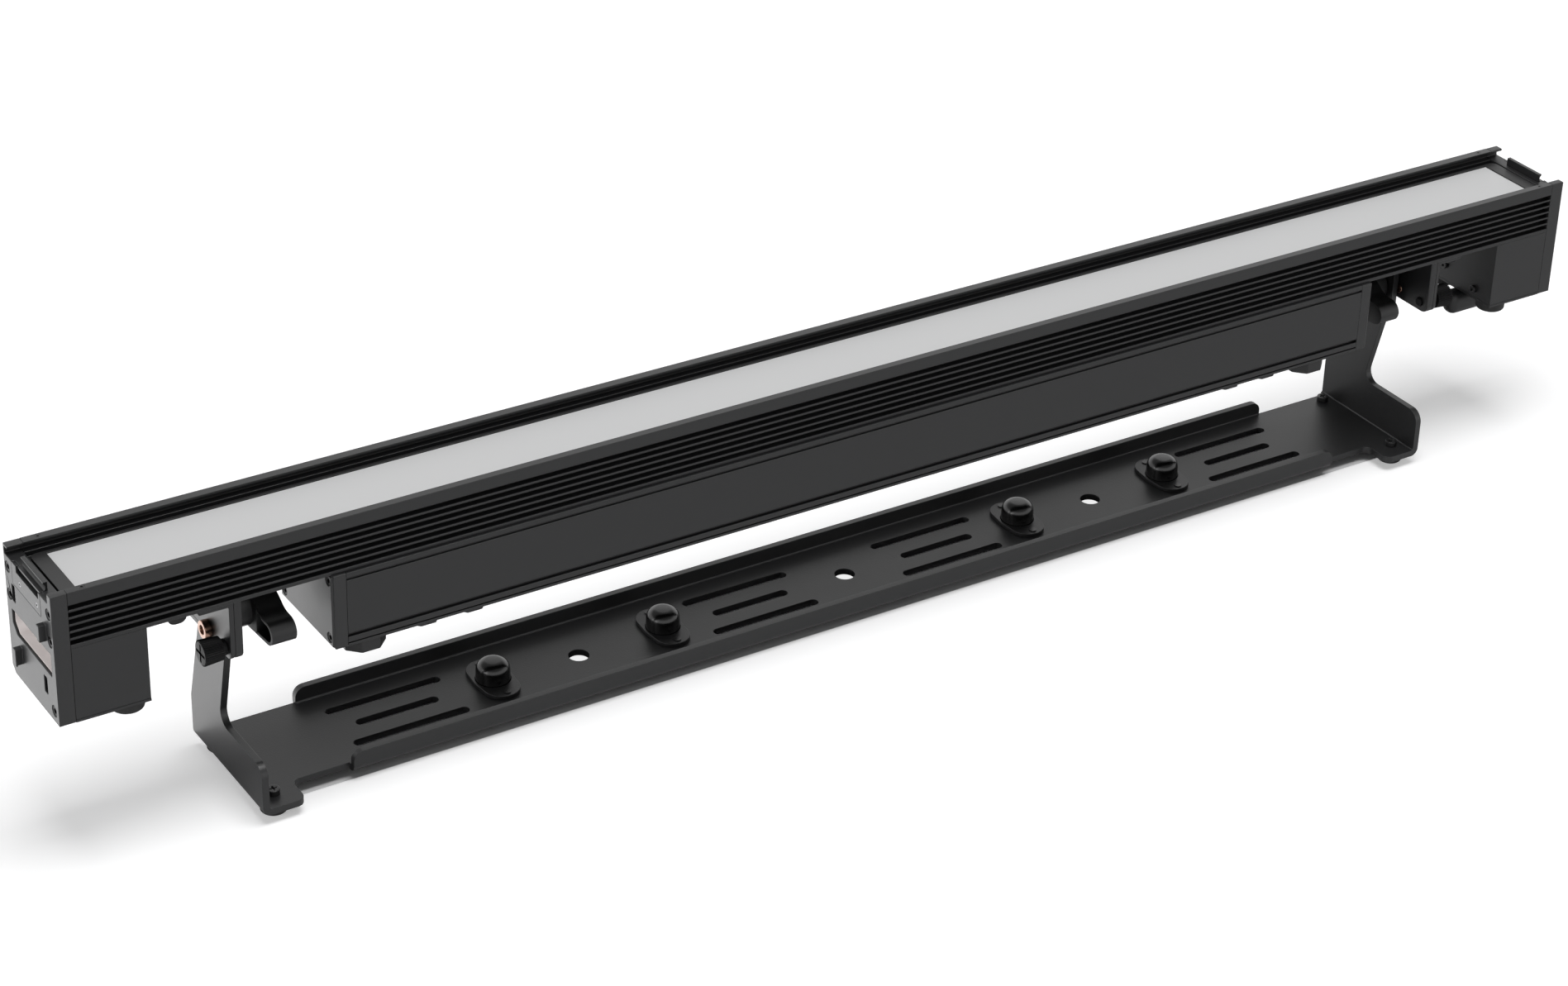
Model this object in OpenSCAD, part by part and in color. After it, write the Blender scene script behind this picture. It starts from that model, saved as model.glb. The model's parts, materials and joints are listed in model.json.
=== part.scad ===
/* [Head] */
// Length of the bar over its two end plates
bar_len = 1000; // [970:10:1200]
// Depth of the head from its front face to its back face
head_depth = 62; // [60:0.5:68]
// Height of the lighting profile
profile_h = 32.6; // [31:0.1:38]
// Height of the end plates and end boxes, from the top of the head
end_h = 76; // [72:0.5:84]
// Thickness of an end plate
end_plate_t = 9; // [8:0.5:11]
// Width of the rail along the front of the light opening
front_lip_w = 4.5; // [4:0.1:5.5]
// Depth of the channel that the lens lies in
recess_depth = 5.6; // [4.4:0.1:5.8]
// Wall of the thin rail at the back
back_wall_t = 1.2; // [1:0.1:1.8]
// Width of the flange that turns in at the top of the back rail
back_flange_w = 5.4; // [4:0.1:6]
// Thickness of that flange
back_flange_t = 1.5; // [1.2:0.1:2]

/* [Fins] */
// Height of the plain band above the grooves
fin_band_h = 7.2; // [6.8:0.1:7.4]
// Number of grooves in each side of the profile
groove_count = 6; // [4:1:6]
// Distance from one groove to the next
groove_pitch = 4.05; // [3.8:0.05:4.2]
// Height of a groove's mouth
groove_open = 2.9; // [2.4:0.1:3.2]
// Depth of a groove
groove_depth = 4.2; // [3:0.1:4.4]

/* [Lens] */
// Width of the black frame round the lens
lens_frame_w = 43.6; // [43.2:0.1:44]
// Thickness of the lens frame
lens_frame_t = 2.4; // [2:0.1:2.8]
// How far the lens lies below the face of its frame
lens_set_in = 0.6; // [0:0.1:1]
// Corner radius of the lens frame
lens_frame_corner = 4; // [2:0.5:6]
// Gap between the end of the lens frame and the end of the profile
lens_frame_gap = 1; // [0.4:0.1:1.2]
// Width of the opal lens that shows inside its frame
lens_w = 39; // [38:0.1:39.6]
// Width of the lens frame's strip at each end of the lens
lens_border = 8.5; // [6:0.5:12]
// How far the lens runs under its frame on each side
lens_lip = 1.5; // [1:0.1:1.7]
// Thickness of the part of the lens under the frame
lens_lip_t = 1.2; // [1:0.1:1.6]
// Thickness of the gasket under the lens
gasket_t = 0.6; // [0.4:0.1:1]
// Width of the open slot along each side of the lens frame
side_slot_w = 3.5; // [3:0.1:3.8]
// Depth of that slot below the channel
side_slot_depth = 3; // [2:0.1:4]

/* [Light engine] */
// Width of the light chamber under the lens
chamber_w = 35; // [33:0.5:36]
// Depth of the chamber's floor below the top of the head
chamber_floor = 24; // [20:0.5:25]
// Width of the light board
board_w = 30; // [20:1:32]
// Thickness of the circuit boards
board_t = 1.6; // [1:0.1:2.4]
// Side of one light emitter
emitter_w = 5; // [3:0.5:6]
// Height of one light emitter
emitter_h = 1.8; // [1:0.1:2.4]
// Distance from one emitter to the next
emitter_pitch = 16; // [12:1:25]

/* [End plates] */
// Corner cut at the bottom back of each end
end_chamfer = 4; // [2:0.5:6]
// Front edge of the coupling window from the front face
window_front = 5; // [4:0.5:8]
// Width of the coupling window
window_w = 51; // [46:0.5:52]
// Top of the coupling window below the top of the head
window_drop = 36; // [35.5:0.5:38]
// Height of the coupling window
window_h = 13; // [12:0.5:14]
// Corner cut in the coupling window
window_chamfer = 5; // [3:0.5:6]
// Thickness of a locating tab
tab_t = 3.7; // [3:0.1:3.9]
// Height of a locating tab
tab_h = 9.5; // [8:0.5:11]
// How far a locating tab stands out
tab_out = 4; // [3:0.1:4.5]
// Play round a tab in the next bar's slot
tab_play = 0.15; // [0.1:0.05:0.3]
// Upper tab from the front face, and its top below the top of the head
tab_a = [8.4, 20]; // [0:0.5:60]
// Lower tab from the front face, and its top below the top of the head
tab_b = [45.2, 54]; // [0:0.5:60]
// Radius of the end plate screws' heads
plate_screw_r = 3.05; // [2.6:0.05:3.3]
// Distance of the upper screws from the front and back faces
plate_screw_inset = 4.4; // [4.3:0.1:5]
// Drop of the two upper screws in each row
plate_screw_drops = [12, 28]; // [8:1:30]
// Distance of the low screw from its face
low_screw_inset = 5.7; // [5:0.1:7]
// Drop of the low screw
low_screw_drop = 69.5; // [66:0.5:70]

/* [End clips] */
// Back edge of the clip cover from the front face
cover_back = 51.2; // [48:0.2:52]
// Width of the clip cover
cover_w = 37; // [34:0.5:38]
// Bottom of the clip cover below the top of the head
cover_drop = 18.5; // [17:0.1:19]
// Thickness of the clip cover
cover_t = 2; // [1.5:0.1:2.4]
// Length of the clip blade
blade_len = 29; // [24:0.5:30]
// Thickness of the clip blade
blade_t = 1.2; // [1:0.1:1.6]
// How far the blade stands back from the end face
blade_back = 5.4; // [4.6:0.1:6]
// Height of the blade below the top of the head
blade_drop = 0.8; // [0.5:0.1:1.5]

/* [End boxes] */
// Length of an end box along the bar
end_box_len = 40.6; // [36:0.2:44]
// Wall of an end box
end_box_wall = 2.2; // [1.8:0.1:2.6]
// Thickness of the cover under an end box
end_cover_t = 1.5; // [1.2:0.1:2]
// Radius of the rubber feet under the end boxes
end_foot_r = 9; // [6:0.25:9.25]
// Height of those feet
end_foot_h = 5.5; // [3:0.1:6]
// Distance of those feet's middles from the box's edges
end_foot_inset = 9.5; // [9.5:0.5:12]
// Thickness of the plated liner in the coupling pocket
liner_t = 0.8; // [0.6:0.1:1.2]
// Depth of the coupling pocket from the end face
pocket_depth = 30; // [24:1:34]

/* [Coupling latch] */
// Travel of the coupling bolt
latch_travel = 12; // [8:1:14]
// Width of the coupling bolt
bolt_w = 40; // [34:0.5:42]
// Thickness of the coupling bolt
bolt_t = 8.6; // [7:0.1:9]
// Length of the coupling bolt
bolt_len = 43; // [40:0.5:44]
// Distance of the bolt's nose inside the end face
bolt_set_back = 1; // [0.5:0.1:2]
// Play between the bolt and its guide
bolt_play = 0.3; // [0.3:0.05:0.4]
// Wall of the bolt guide at its sides
guide_wall = 3; // [2.5:0.1:3.5]
// Thickness of the guide's lips under the bolt
guide_lip_t = 3; // [2:0.1:4]
// Gap between the guide's lips
guide_gap = 10; // [9:0.5:14]
// Radius of the latch handle's stem
stem_r = 3; // [2.5:0.1:3.5]
// Distance of the stem from the bolt's inner end
stem_inset = 6; // [5:0.5:8]
// Length of the latch handle
handle_len = 24; // [20:0.5:26]
// Width of the latch handle
handle_w = 12; // [10:0.5:14]
// Height of the latch handle
handle_h = 13; // [10:0.5:14]
// Gap between the latch handle and the box above it
handle_gap = 3; // [2:0.1:4]

/* [Power box] */
// Depth of the power box from front to back
power_depth = 64; // [62:0.5:68]
// How far the power box stands in front of the head
power_front = 1.7; // [0.5:0.1:3]
// Height of the power box
power_h = 44.4; // [42:0.2:48]
// Wall of the power box
power_wall = 4; // [3.6:0.1:4.4]
// Thickness of an end cap of the power box
power_cap_t = 8.4; // [6:0.2:10]
// Distance along the bar from an arm's outer face to the power box
power_gap = 47; // [45:0.5:60]
// Side of the corner posts that the cap screws bite in
post_w = 7.6; // [7.4:0.1:9]
// Distance of the cap screws from the front and back faces
cap_screw_inset = 4.75; // [4.6:0.05:5]
// Distance of the cap screws from the top
cap_screw_top = 4.6; // [4.4:0.1:5]
// Distance of the cap screws from the bottom
cap_screw_bottom = 5.4; // [4.6:0.1:5.6]
// Radius of the cap screws' heads
cap_screw_r = 2.8; // [2.4:0.1:3]

/* [Sockets] */
// Distance along the bar from the power box's end to each socket
socket_places = [28, 63, 91]; // [20:1:120]
// Sides of the power socket's hood
power_hood_w = 24; // [22:0.5:26]
// Height of the power socket's hood
power_hood_h = 16.5; // [14:0.5:18]
// Radius of the power socket's mouth
power_mouth_r = 9.5; // [9:0.1:10]
// Sides of a data socket's hood
data_hood_w = 20; // [18:0.5:22]
// Height of a data socket's hood
data_hood_h = 12.2; // [11:0.2:14]
// Radius of a data socket's mouth
data_mouth_r = 7.6; // [7:0.1:8]
// Distance of the sockets' middle from the power box's front
socket_back = 25.7; // [24:0.2:38]
// Width of a socket's flange
socket_flange_w = 26; // [24:0.5:27]
// Length of a socket's flange
socket_flange_len = 31; // [28:0.5:33]
// Thickness of a socket's flange
socket_flange_t = 2; // [1.5:0.1:3]
// Radius of the socket's body inside the box
socket_body_r = 9.6; // [9:0.1:10]
// Height of the socket's body above the box's floor
socket_body_h = 12; // [8:0.5:16]

/* [Control panel] */
// Middle of the display from the middle of the bar
display_x = 60; // [40:1:90]
// Width and height of the display window
display_size = [36, 16]; // [10:1:60]
// Thickness of the display window
display_t = 1.2; // [1:0.1:1.8]
// Radius of a menu button
button_r = 3.8; // [3:0.1:4.5]
// Distance from one menu button to the next
button_pitch = 13; // [12:0.5:16]
// Travel of a menu button
button_travel = 0.8; // [0.5:0.1:1]
// How far a menu button stands out
button_out = 1.2; // [1.1:0.1:1.6]

/* [Yoke bracket] */
// Gap along the bar between a stop block and an end box
end_room = 17.4; // [8:0.1:30]
// Thickness of the bracket's sheet
sheet_t = 4; // [3:0.1:5]
// Inner radius of the bends
bend_r = 1; // [0.5:0.1:2]
// Depth of the base plate over its flanges
base_depth = 76.5; // [72:0.5:84]
// Height of the flanges above the underside of the base
flange_h = 13; // [12:0.5:20]
// Set-back of the plate's front edge beyond the flanges
front_set_back = 6; // [4:0.5:7]
// Set-back of the plate's back edge beyond the flanges
back_set_back = 3; // [2:0.5:5]
// Corner radius of the flanges
flange_corner = 6; // [3:0.5:8]
// Distance from an arm's outer face to the end of a flange
flange_inset = 59; // [45:1:70]
// Height of the bracket's underside above the floor, on its feet
foot_h = 6; // [4:0.5:8]
// Height of the tilt axis above the floor
pivot_h = 106; // [100:1:120]
// Reach of the bracket's front lobes from the tilt axis
lobe_reach = 51; // [48:0.5:56]
// Length of a front lobe along the bar
lobe_len = 25; // [22:0.5:30]
// Corner radius of a front lobe
lobe_corner = 5; // [3:0.5:7]
// Radius where a lobe runs into the base plate
lobe_fillet = 5; // [2:0.5:6]

/* [Bracket arms] */
// Height of the low front part of an arm above the underside of the base
arm_step_h = 30.5; // [26:0.5:34]
// Front edge of the arm's foot behind the tilt axis
arm_foot_front = 1.5; // [0:0.5:4]
// Front edge of the arm's neck in front of the tilt axis
arm_neck_front = 12.5; // [11:0.5:14]
// Front edge of the arm's head in front of the tilt axis
arm_head_front = 16; // [15:0.5:17]
// Back edge of the arm's head behind the tilt axis
arm_head_back = 17.5; // [16:0.5:18]
// Top of the arm above the tilt axis
arm_head_top = 24; // [20:0.5:24.5]
// Bottom of the arm's head below the tilt axis
arm_head_low = 9; // [6:0.5:12]
// Corner radius of the arm's head
arm_head_corner = 8; // [7:0.5:9]
// Height above the underside of the base where the arm's back edge leans forward
arm_back_bend = 27; // [22:0.5:30]

/* [Base holes] */
// Width of a slot
slot_w = 6; // [5:0.1:7]
// Length of an outer slot, end to end
slot_len = 70; // [60:1:76]
// Length of a middle slot, end to end
mid_slot_len = 50; // [40:1:60]
// Distance between the middle row of slots and an outer row
slot_row = 17.5; // [14:0.5:19]
// Place of the far slot groups, as a share of the distance to an arm
slot_far_share = 0.7374; // [0.72:0.0001:0.75]
// Place of the near slot groups, as a share of the same distance
slot_near_share = 0.1641; // [0.13:0.0001:0.17]
// Radius of the round fixing holes
fix_hole_r = 6; // [5:0.25:7]
// Place of the side holes, as a share of the same distance
fix_hole_share = 0.4503; // [0.44:0.0001:0.46]
// Place of the near quarter-turn sockets, as a share of the same distance
socket_near_share = 0.3121; // [0.305:0.0001:0.328]
// Place of the far quarter-turn sockets, as a share of the same distance
socket_far_share = 0.5879; // [0.572:0.0001:0.595]

/* [Quarter-turn sockets] */
// Radius of the dome
dome_r = 10; // [9:0.25:11]
// Height of the dome over the base
dome_h = 14; // [12:0.5:16]
// Wall of the dome
dome_wall = 1.4; // [1:0.1:1.8]
// Length of the flange under the dome, from front to back
rivet_flange_len = 41; // [38:0.5:44]
// Half width of the flange under the dome
rivet_flange_r = 11.5; // [11:0.25:13]
// Radius of the flange's ends
rivet_tip_r = 10.5; // [6:0.25:10.75]
// Thickness of that flange
rivet_flange_t = 2.4; // [1.2:0.1:3]
// Radius of the hole for the quarter-turn stud
stud_hole_r = 5; // [4:0.1:6]
// Radius of a rivet's head
rivet_r = 2.2; // [1.8:0.1:2.6]

/* [Bracket feet] */
// Radius of a rubber foot
foot_r = 7.5; // [6:0.25:9]
// Distance of the feet from the arm's outer face
foot_inset = 11.5; // [10:0.5:13]
// Distance of the front feet in front of the tilt axis
foot_front = 38.5; // [37:0.5:42]
// Distance of the back feet behind the tilt axis
foot_back = 28.8; // [26:0.2:30]
// Radius of a foot screw's head
foot_screw_r = 3.6; // [3:0.1:4]
// Height of a foot screw's head
foot_screw_h = 3.4; // [2:0.1:4]

/* [Tilt joint] */
// Tilt axis behind the head's front face
pivot_back = 42.5; // [40:0.5:44]
// Tilt axis below the top of the head
pivot_drop = 62; // [60:0.5:64]
// Radius of the pivot stud
stud_r = 4; // [3.5:0.1:4.5]
// Running clearance round the stud
running_gap = 0.05; // [0.02:0.01:0.1]
// Radius of the friction washer
washer_r = 11; // [9:0.5:12]
// Thickness of the friction washer
washer_t = 2.3; // [1.5:0.1:3]
// Thickness of the carrier plate that holds the stud
carrier_t = 4.5; // [4:0.1:5.5]
// Thickness of the hanger plate screwed under the profile
hanger_t = 2.7; // [2:0.1:3.2]
// Length of the hanger plate's top flange
hanger_flange = 19.2; // [16:0.2:20]
// Distance of both plates from the front and back faces
plate_inset = 1; // [0.5:0.1:1.5]
// Bottom of both plates below the top of the head
plate_drop = 68; // [66:0.5:72]
// Corner radius at the bottom of both plates
plate_corner = 5; // [3:0.5:7]

/* [Clamp levers] */
// Gap between the lever and the arm
lever_gap = 0.3; // [0.3:0.05:0.5]
// Length of the lever's hub
hub_len = 11.7; // [10:0.1:13]
// Radius of the lever's hub
hub_r = 12; // [10.5:0.25:12.5]
// Length of the lever's wing along the axis
wing_len = 14; // [12:0.5:15]
// Reach of the wing's round end from the axis
wing_reach = 30; // [26:0.5:34]
// Radius of the wing's round end
wing_r = 6.5; // [5.5:0.25:7]
// Drop of the wing's round end below the axis
wing_drop = 2.8; // [2:0.1:4]
// Wall of the hollow wing
wing_wall = 2; // [1.5:0.1:2.5]
// Radius of the threaded insert
insert_r = 6.5; // [5.5:0.1:7]
// Length of the threaded insert
insert_len = 9.7; // [8:0.1:11]

/* [Thumbscrews] */
// Thumbscrew axis behind the head's front face
thumb_back = 8; // [7:0.5:9]
// Radius over the knurl
thumb_r = 7.25; // [6.5:0.25:8]
// Length of the knurled head
thumb_len = 11; // [9:0.5:12]
// Number of ridges in the knurl
knurl_count = 36; // [24:1:44]
// Depth of the knurl
knurl_depth = 0.45; // [0.3:0.05:0.6]
// Radius of the collar
collar_r = 4.5; // [3.8:0.1:5.5]
// Length of the collar
collar_len = 2.6; // [2:0.1:3.5]
// Radius of the thumbscrew's shank
thumb_shank_r = 2.5; // [2:0.1:3]
// How far the shank stands out of the carrier plate
thumb_end = 1.5; // [0.5:0.1:1.8]

/* [Hook pins] */
// Hook pin behind the head's front face
hook_back = 28.5; // [27:0.5:30]
// Radius of the hook pin's head
hook_r = 5.15; // [4.5:0.05:5.5]
// Length of the hook pin's head
hook_len = 4; // [3:0.2:6]
// Radius of the hook pin's shank
hook_shank_r = 3; // [2.5:0.1:3.5]

/* [Stop blocks] */
// Front face of a stop block behind the head's front face
stop_back = 15; // [14:0.5:18]
// Width of a stop block from front to back
stop_w = 10; // [8:0.5:12]
// Length of a stop block along the bar
stop_len = 10.5; // [8:0.5:11]
// Height of a stop block
stop_h = 12.9; // [10:0.1:14]
// Corner radius of a stop block
stop_corner = 4; // [2:0.5:5]
// Gap between a stop block and the hanger plate
stop_gap = 0.5; // [0.2:0.1:1]

/* [Hidden] */

$fn = 48;
cut = 0.5;
fit = 0.05;
arc_steps = 8;

bar_end = bar_len / 2;
profile_end = bar_end - end_plate_t;
head_mid = head_depth / 2;
head_top = pivot_h + pivot_drop;
end_box_in = profile_end - end_box_len;
hanger_end = end_box_in - end_room - stop_len - stop_gap;
plate_mid = hanger_end - hanger_flange;
plate_in = plate_mid - carrier_t;
plate_out = plate_mid + hanger_t;
arm_out = plate_in - washer_t;
arm_in = arm_out - sheet_t;
stand_shift = (lobe_reach - base_depth / 2) / 2;

lens_top = recess_depth;
frame_low = lens_top + lens_frame_t;
lens_low = frame_low + lens_lip_t;
seat_drop = lens_low + gasket_t;
frame_end = profile_end - lens_frame_gap;
lens_end = frame_end - lens_border;

tslot_neck = 3.6;
tslot_w = 8;
tslot_h = 3;
tslot_lip = 1.6;
tslot_inset = 12;

screw_shank_r = 1.3;
screw_head_sink = 0.4;
screw_head_h = 2.4;
plate_screw_len = 18;
hex_share = 0.5;
cross_share = 0.6;
hex_depth = 1.4;
boss_r = 4;
boss_len = 14;
pin_hole_r = 1.5;
pin_hole_depth = 4;

rail_screw_r = 1.5;
rail_screw_inset = 8.8;
rail_screw_front = 2.6;
rail_screw_h = 0.9;

clip_screw_r = 1.5;
clip_screw_places = [[41.5, 14.2], [19, 14.2]];
blade_notch = 3.6;

end_cover_low = end_h - end_cover_t;
bolt_out = bar_end - bolt_set_back;
bolt_in = bolt_out - bolt_len;
stem_x = bolt_in + stem_inset;
bolt_mid = window_drop + window_h / 2;
bolt_low = bolt_mid + bolt_t / 2;
nose_corner = 4;
handle_top = end_h + handle_gap;
handle_corner = 3;
box_screw_places = [[43.6, 64.1], [15.7, 69.2]];
box_screw_r = 2.6;
box_screw_h = 1.8;

power_end = arm_out - power_gap;
power_in = power_end - power_cap_t;
power_low = profile_h + power_h;
power_back = power_depth - power_front;
power_floor = power_low - power_wall;
cap_bevel = 1;
power_grooves = [[3.8, 1.5, 1.5], [37.8, 2.2, 2.4], [42.4, 0.9, 1.2]];

socket_y = socket_back - power_front;
socket_corner_share = 0.28;
socket_floor = 3;
contact_r = 1.1;
contact_len = 7;
insert_gap = 2.2;

standoff_r = 3;
standoff_h = 4;
button_gap = 0.3;
button_flange = 1.2;
button_flange_t = 1.2;
button_x = display_x + display_size[0] / 2 + 16;
panel_mid = profile_h + power_h / 2;
switch_w = 6;

carrier_gap = 0.3;
carrier_top = profile_h + carrier_gap;
stud_head_r = 7;
stud_head_t = 2.5;
hanger_bolt_r = 3;
hanger_bolt_h = 2;
tnut_len = 7;

hub_out = arm_in - lever_gap;
wing_out = hub_out - hub_len;
wing_in = wing_out - wing_len;
stud_reach = 3;
stud_end = wing_out - stud_reach;
stud_room = 1;
shoulder_r = 9;
hub_step = 0.8;
shoulder = [-13.5, 1];
tail_r = 6;
tail = [-14, -4.5];

socket_hex_r = 2.6;
foot_screw_shank_r = 2;
foot_screw_len = 8;
foot_bevel = 1;
arm_notch_r = 2;
arm_notch_h = 3;
cross_t = 0.9;
cross_depth = 1.4;
rivet_h = 0.6;
rivet_edge = 1.9;
rivet_place = rivet_flange_len / 2 - rivet_r - rivet_edge;
tip_place = rivet_flange_len / 2 - rivet_tip_r;
dome_round = 4.5;

slot_places = arm_out * [-slot_far_share, -slot_near_share, slot_near_share, slot_far_share];
fix_places = arm_out * [-fix_hole_share, 0, fix_hole_share];
quarter_places = arm_out * [-socket_far_share, -socket_near_share, socket_near_share, socket_far_share];

/* The frame of the whole lamp stands on the floor, midway between the bracket's front and back. */
module stand() {
  translate([0, stand_shift, 0]) children();
}

/* In the head's own frame y runs back from its front face and z runs up from its top. */
module head() {
  stand() translate([0, -pivot_back, head_top]) children();
}

module pivot() {
  stand() translate([0, 0, pivot_h]) children();
}

module mirrored() {
  mirror([1, 0, 0]) children();
}

module both_sides() {
  children();
  mirrored() children();
}

module block(low, high) {
  translate(low) cube(high - low);
}

module along_x(from, to) {
  translate([from, 0, 0]) rotate([90, 0, 90]) linear_extrude(to - from) children();
}

module along_y(from, to) {
  translate([0, to, 0]) rotate([90, 0, 0]) linear_extrude(to - from) children();
}

module along_z(from, to) {
  translate([0, 0, from]) linear_extrude(to - from) children();
}

module rod_x(r, from, to, y, z) {
  translate([from, y, z]) rotate([0, 90, 0]) cylinder(r = r, h = to - from);
}

module rod_y(r, from, to, x, z) {
  translate([x, to, z]) rotate([90, 0, 0]) cylinder(r = r, h = to - from);
}

module rod_z(r, from, to, x, y) {
  translate([x, y, from]) cylinder(r = r, h = to - from);
}

module hex_x(r, from, to, y, z) {
  translate([from, y, z]) rotate([0, 90, 0]) cylinder(r = r, h = to - from, $fn = 6);
}

function unit(v) = v / norm(v);

/* Points of the arc that rounds corner b between a and c. */
function corner_arc(a, b, c, r) =
  let (u = unit(a - b), v = unit(c - b))
  let (half = acos(max(-1, min(1, u * v))) / 2)
  let (centre = b + unit(u + v) * r / sin(half))
  let (first = b + u * r / tan(half) - centre, last = b + v * r / tan(half) - centre)
  let (start = atan2(first[1], first[0]))
  let (turn = atan2(first[0] * last[1] - first[1] * last[0], first * last))
  [for (i = [0:arc_steps]) centre + r * [cos(start + turn * i / arc_steps), sin(start + turn * i / arc_steps)]];

function flat(p) = [p[0], p[1]];

/* Each point is [x, y] for a sharp corner or [x, y, radius] for a round one. */
function rounded(p) =
  [for (i = [0:len(p) - 1])
    each (len(p[i]) < 3 ? [p[i]] :
      corner_arc(flat(p[(i + len(p) - 1) % len(p)]), flat(p[i]), flat(p[(i + 1) % len(p)]), p[i][2]))];

/* Outline round two circles, with the straight sides that touch both. */
function bean(p, r, q, s) =
  let (d = q - p, lean = atan2(d[1], d[0]), open = acos((r - s) / norm(d)), far = 360 - 2 * open)
  let (n = 3 * arc_steps)
  concat(
    [for (i = [0:n]) p + r * [cos(lean + open + far * i / n), sin(lean + open + far * i / n)]],
    [for (i = [0:n]) q + s * [cos(lean - open + 2 * open * i / n), sin(lean - open + 2 * open * i / n)]]);

module slot_shape(length, width) {
  half = (length - width) / 2;
  translate([-half, -width / 2]) square([2 * half, width]);
  for (x = [-half, half]) translate([x, 0]) circle(width / 2);
}

/* Screw along X with its head's face at face, reaching inwards by length. */
module screw_in(face, length, r, y, z) {
  difference() {
    union() {
      rod_x(r, face - screw_head_h, face, y, z);
      rod_x(screw_shank_r, face - length, face, y, z);
    }
    hex_x(r * hex_share, face - hex_depth, face + cut, y, z);
  }
}

/* Rails, channel and side slots that the profile and the end plates share. */
module rail_cut(floor_drop) {
  translate([front_lip_w, -floor_drop])
    square([head_depth - front_lip_w - back_wall_t, floor_drop + cut]);
}

module back_flange() {
  translate([head_depth - back_flange_w, -back_flange_t]) square([back_flange_w, back_flange_t]);
}

module centred_pocket(width, drop) {
  translate([head_mid - width / 2, -drop]) square([width, drop]);
}

module tslot() {
  translate([-tslot_neck / 2, -profile_h - cut]) square([tslot_neck, tslot_lip + 2 * cut]);
  translate([-tslot_w / 2, -profile_h + tslot_lip]) square([tslot_w, tslot_h]);
}

module profile_section() {
  difference() {
    translate([0, -profile_h]) square([head_depth, profile_h]);
    rail_cut(recess_depth);
    centred_pocket(lens_frame_w, frame_low);
    for (y = [head_mid - lens_frame_w / 2 - side_slot_w, head_mid + lens_frame_w / 2]) {
      translate([y, -recess_depth - side_slot_depth]) square([side_slot_w, side_slot_depth + cut]);
    }
    centred_pocket(chamber_w, chamber_floor);
    for (i = [0:groove_count - 1]) {
      top = fin_band_h + i * groove_pitch;
      translate([-cut, -top - groove_open]) square([groove_depth + cut, groove_open]);
      translate([head_depth - groove_depth, -top - groove_open]) square([groove_depth + cut, groove_open]);
    }
    for (y = [tslot_inset, head_depth - tslot_inset]) translate([y, 0]) tslot();
  }
  back_flange();
}

module centred_seat(width, drop, reach) {
  block([-reach, head_mid - width / 2, -drop], [reach, head_mid + width / 2, 0]);
}

module rail_screw_places() {
  both_sides() {
    translate([profile_end - rail_screw_inset, rail_screw_front, 0]) children();
    translate([profile_end - rail_screw_inset, head_depth - back_flange_w / 2, 0]) children();
  }
}

module led_profile() {
  color("#26272a") head() {
    difference() {
      along_x(-profile_end, profile_end) intersection() {
        profile_section();
        translate([-cut, -profile_h - cut]) square([head_depth + 2 * cut, profile_h + 2 * cut]);
      }
      centred_seat(lens_w + 2 * lens_lip, seat_drop, lens_end + lens_lip);
      both_sides() for (z = plate_screw_drops, y = [plate_screw_inset, head_depth - plate_screw_inset]) {
        rod_x(screw_shank_r + fit, profile_end - plate_screw_len, profile_end + cut, y, -z);
      }
      rail_screw_places() rod_z(rail_screw_r + fit, -rail_screw_h - fit, cut, 0, 0);
    }
  }
}

module lens_outline(width, reach, corner) {
  polygon(rounded([
    [-reach, head_mid - width / 2, corner],
    [reach, head_mid - width / 2, corner],
    [reach, head_mid + width / 2, corner],
    [-reach, head_mid + width / 2, corner]]));
}

module lens_frame() {
  color("#2c2d30") head() difference() {
    along_z(-frame_low, -lens_top) lens_outline(lens_frame_w, frame_end, lens_frame_corner);
    block([-lens_end, head_mid - lens_w / 2, -frame_low - cut], [lens_end, head_mid + lens_w / 2, -lens_top + cut]);
  }
}

module lens() {
  color("#e9eaec") head() {
    block([-lens_end, head_mid - lens_w / 2, -frame_low], [lens_end, head_mid + lens_w / 2, -lens_top - lens_set_in]);
    block([-lens_end - lens_lip, head_mid - lens_w / 2 - lens_lip, -lens_low],
          [lens_end + lens_lip, head_mid + lens_w / 2 + lens_lip, -frame_low]);
  }
}

module lens_gasket() {
  outer = [lens_end + lens_lip, lens_w / 2 + lens_lip];
  inner = [lens_end, chamber_w / 2];
  color("#151515") head() translate([0, head_mid, 0]) difference() {
    block([-outer[0], -outer[1], -seat_drop], [outer[0], outer[1], -lens_low]);
    block([-inner[0], -inner[1], -seat_drop - cut], [inner[0], inner[1], -lens_low + cut]);
  }
}

module light_board() {
  reach = lens_end - emitter_pitch / 2;
  count = floor(2 * (reach - emitter_w) / emitter_pitch);
  top = -chamber_floor + board_t;
  color("#e4e6e2") head() translate([0, head_mid, 0]) {
    block([-reach, -board_w / 2, -chamber_floor], [reach, board_w / 2, top]);
    for (i = [0:count]) {
      x = (i - count / 2) * emitter_pitch;
      block([x - emitter_w / 2, -emitter_w / 2, top - fit], [x + emitter_w / 2, emitter_w / 2, top + emitter_h]);
    }
  }
}

module rail_screws() {
  color("#1d1d1f") head() rail_screw_places() difference() {
    rod_z(rail_screw_r, -rail_screw_h - fit, -fit, 0, 0);
    rod_z(rail_screw_r * hex_share, -rail_screw_h * hex_share, cut, 0, 0);
  }
}

/* The ends share their outline, and what is on the right plate's face is the left one's turned half round. */
function turned(y, turn) = turn ? head_depth - y : y;

module end_outline(low) {
  polygon([[0, 0], [0, -low], [head_depth - end_chamfer, -low], [head_depth, -low + end_chamfer], [head_depth, 0]]);
}

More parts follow.
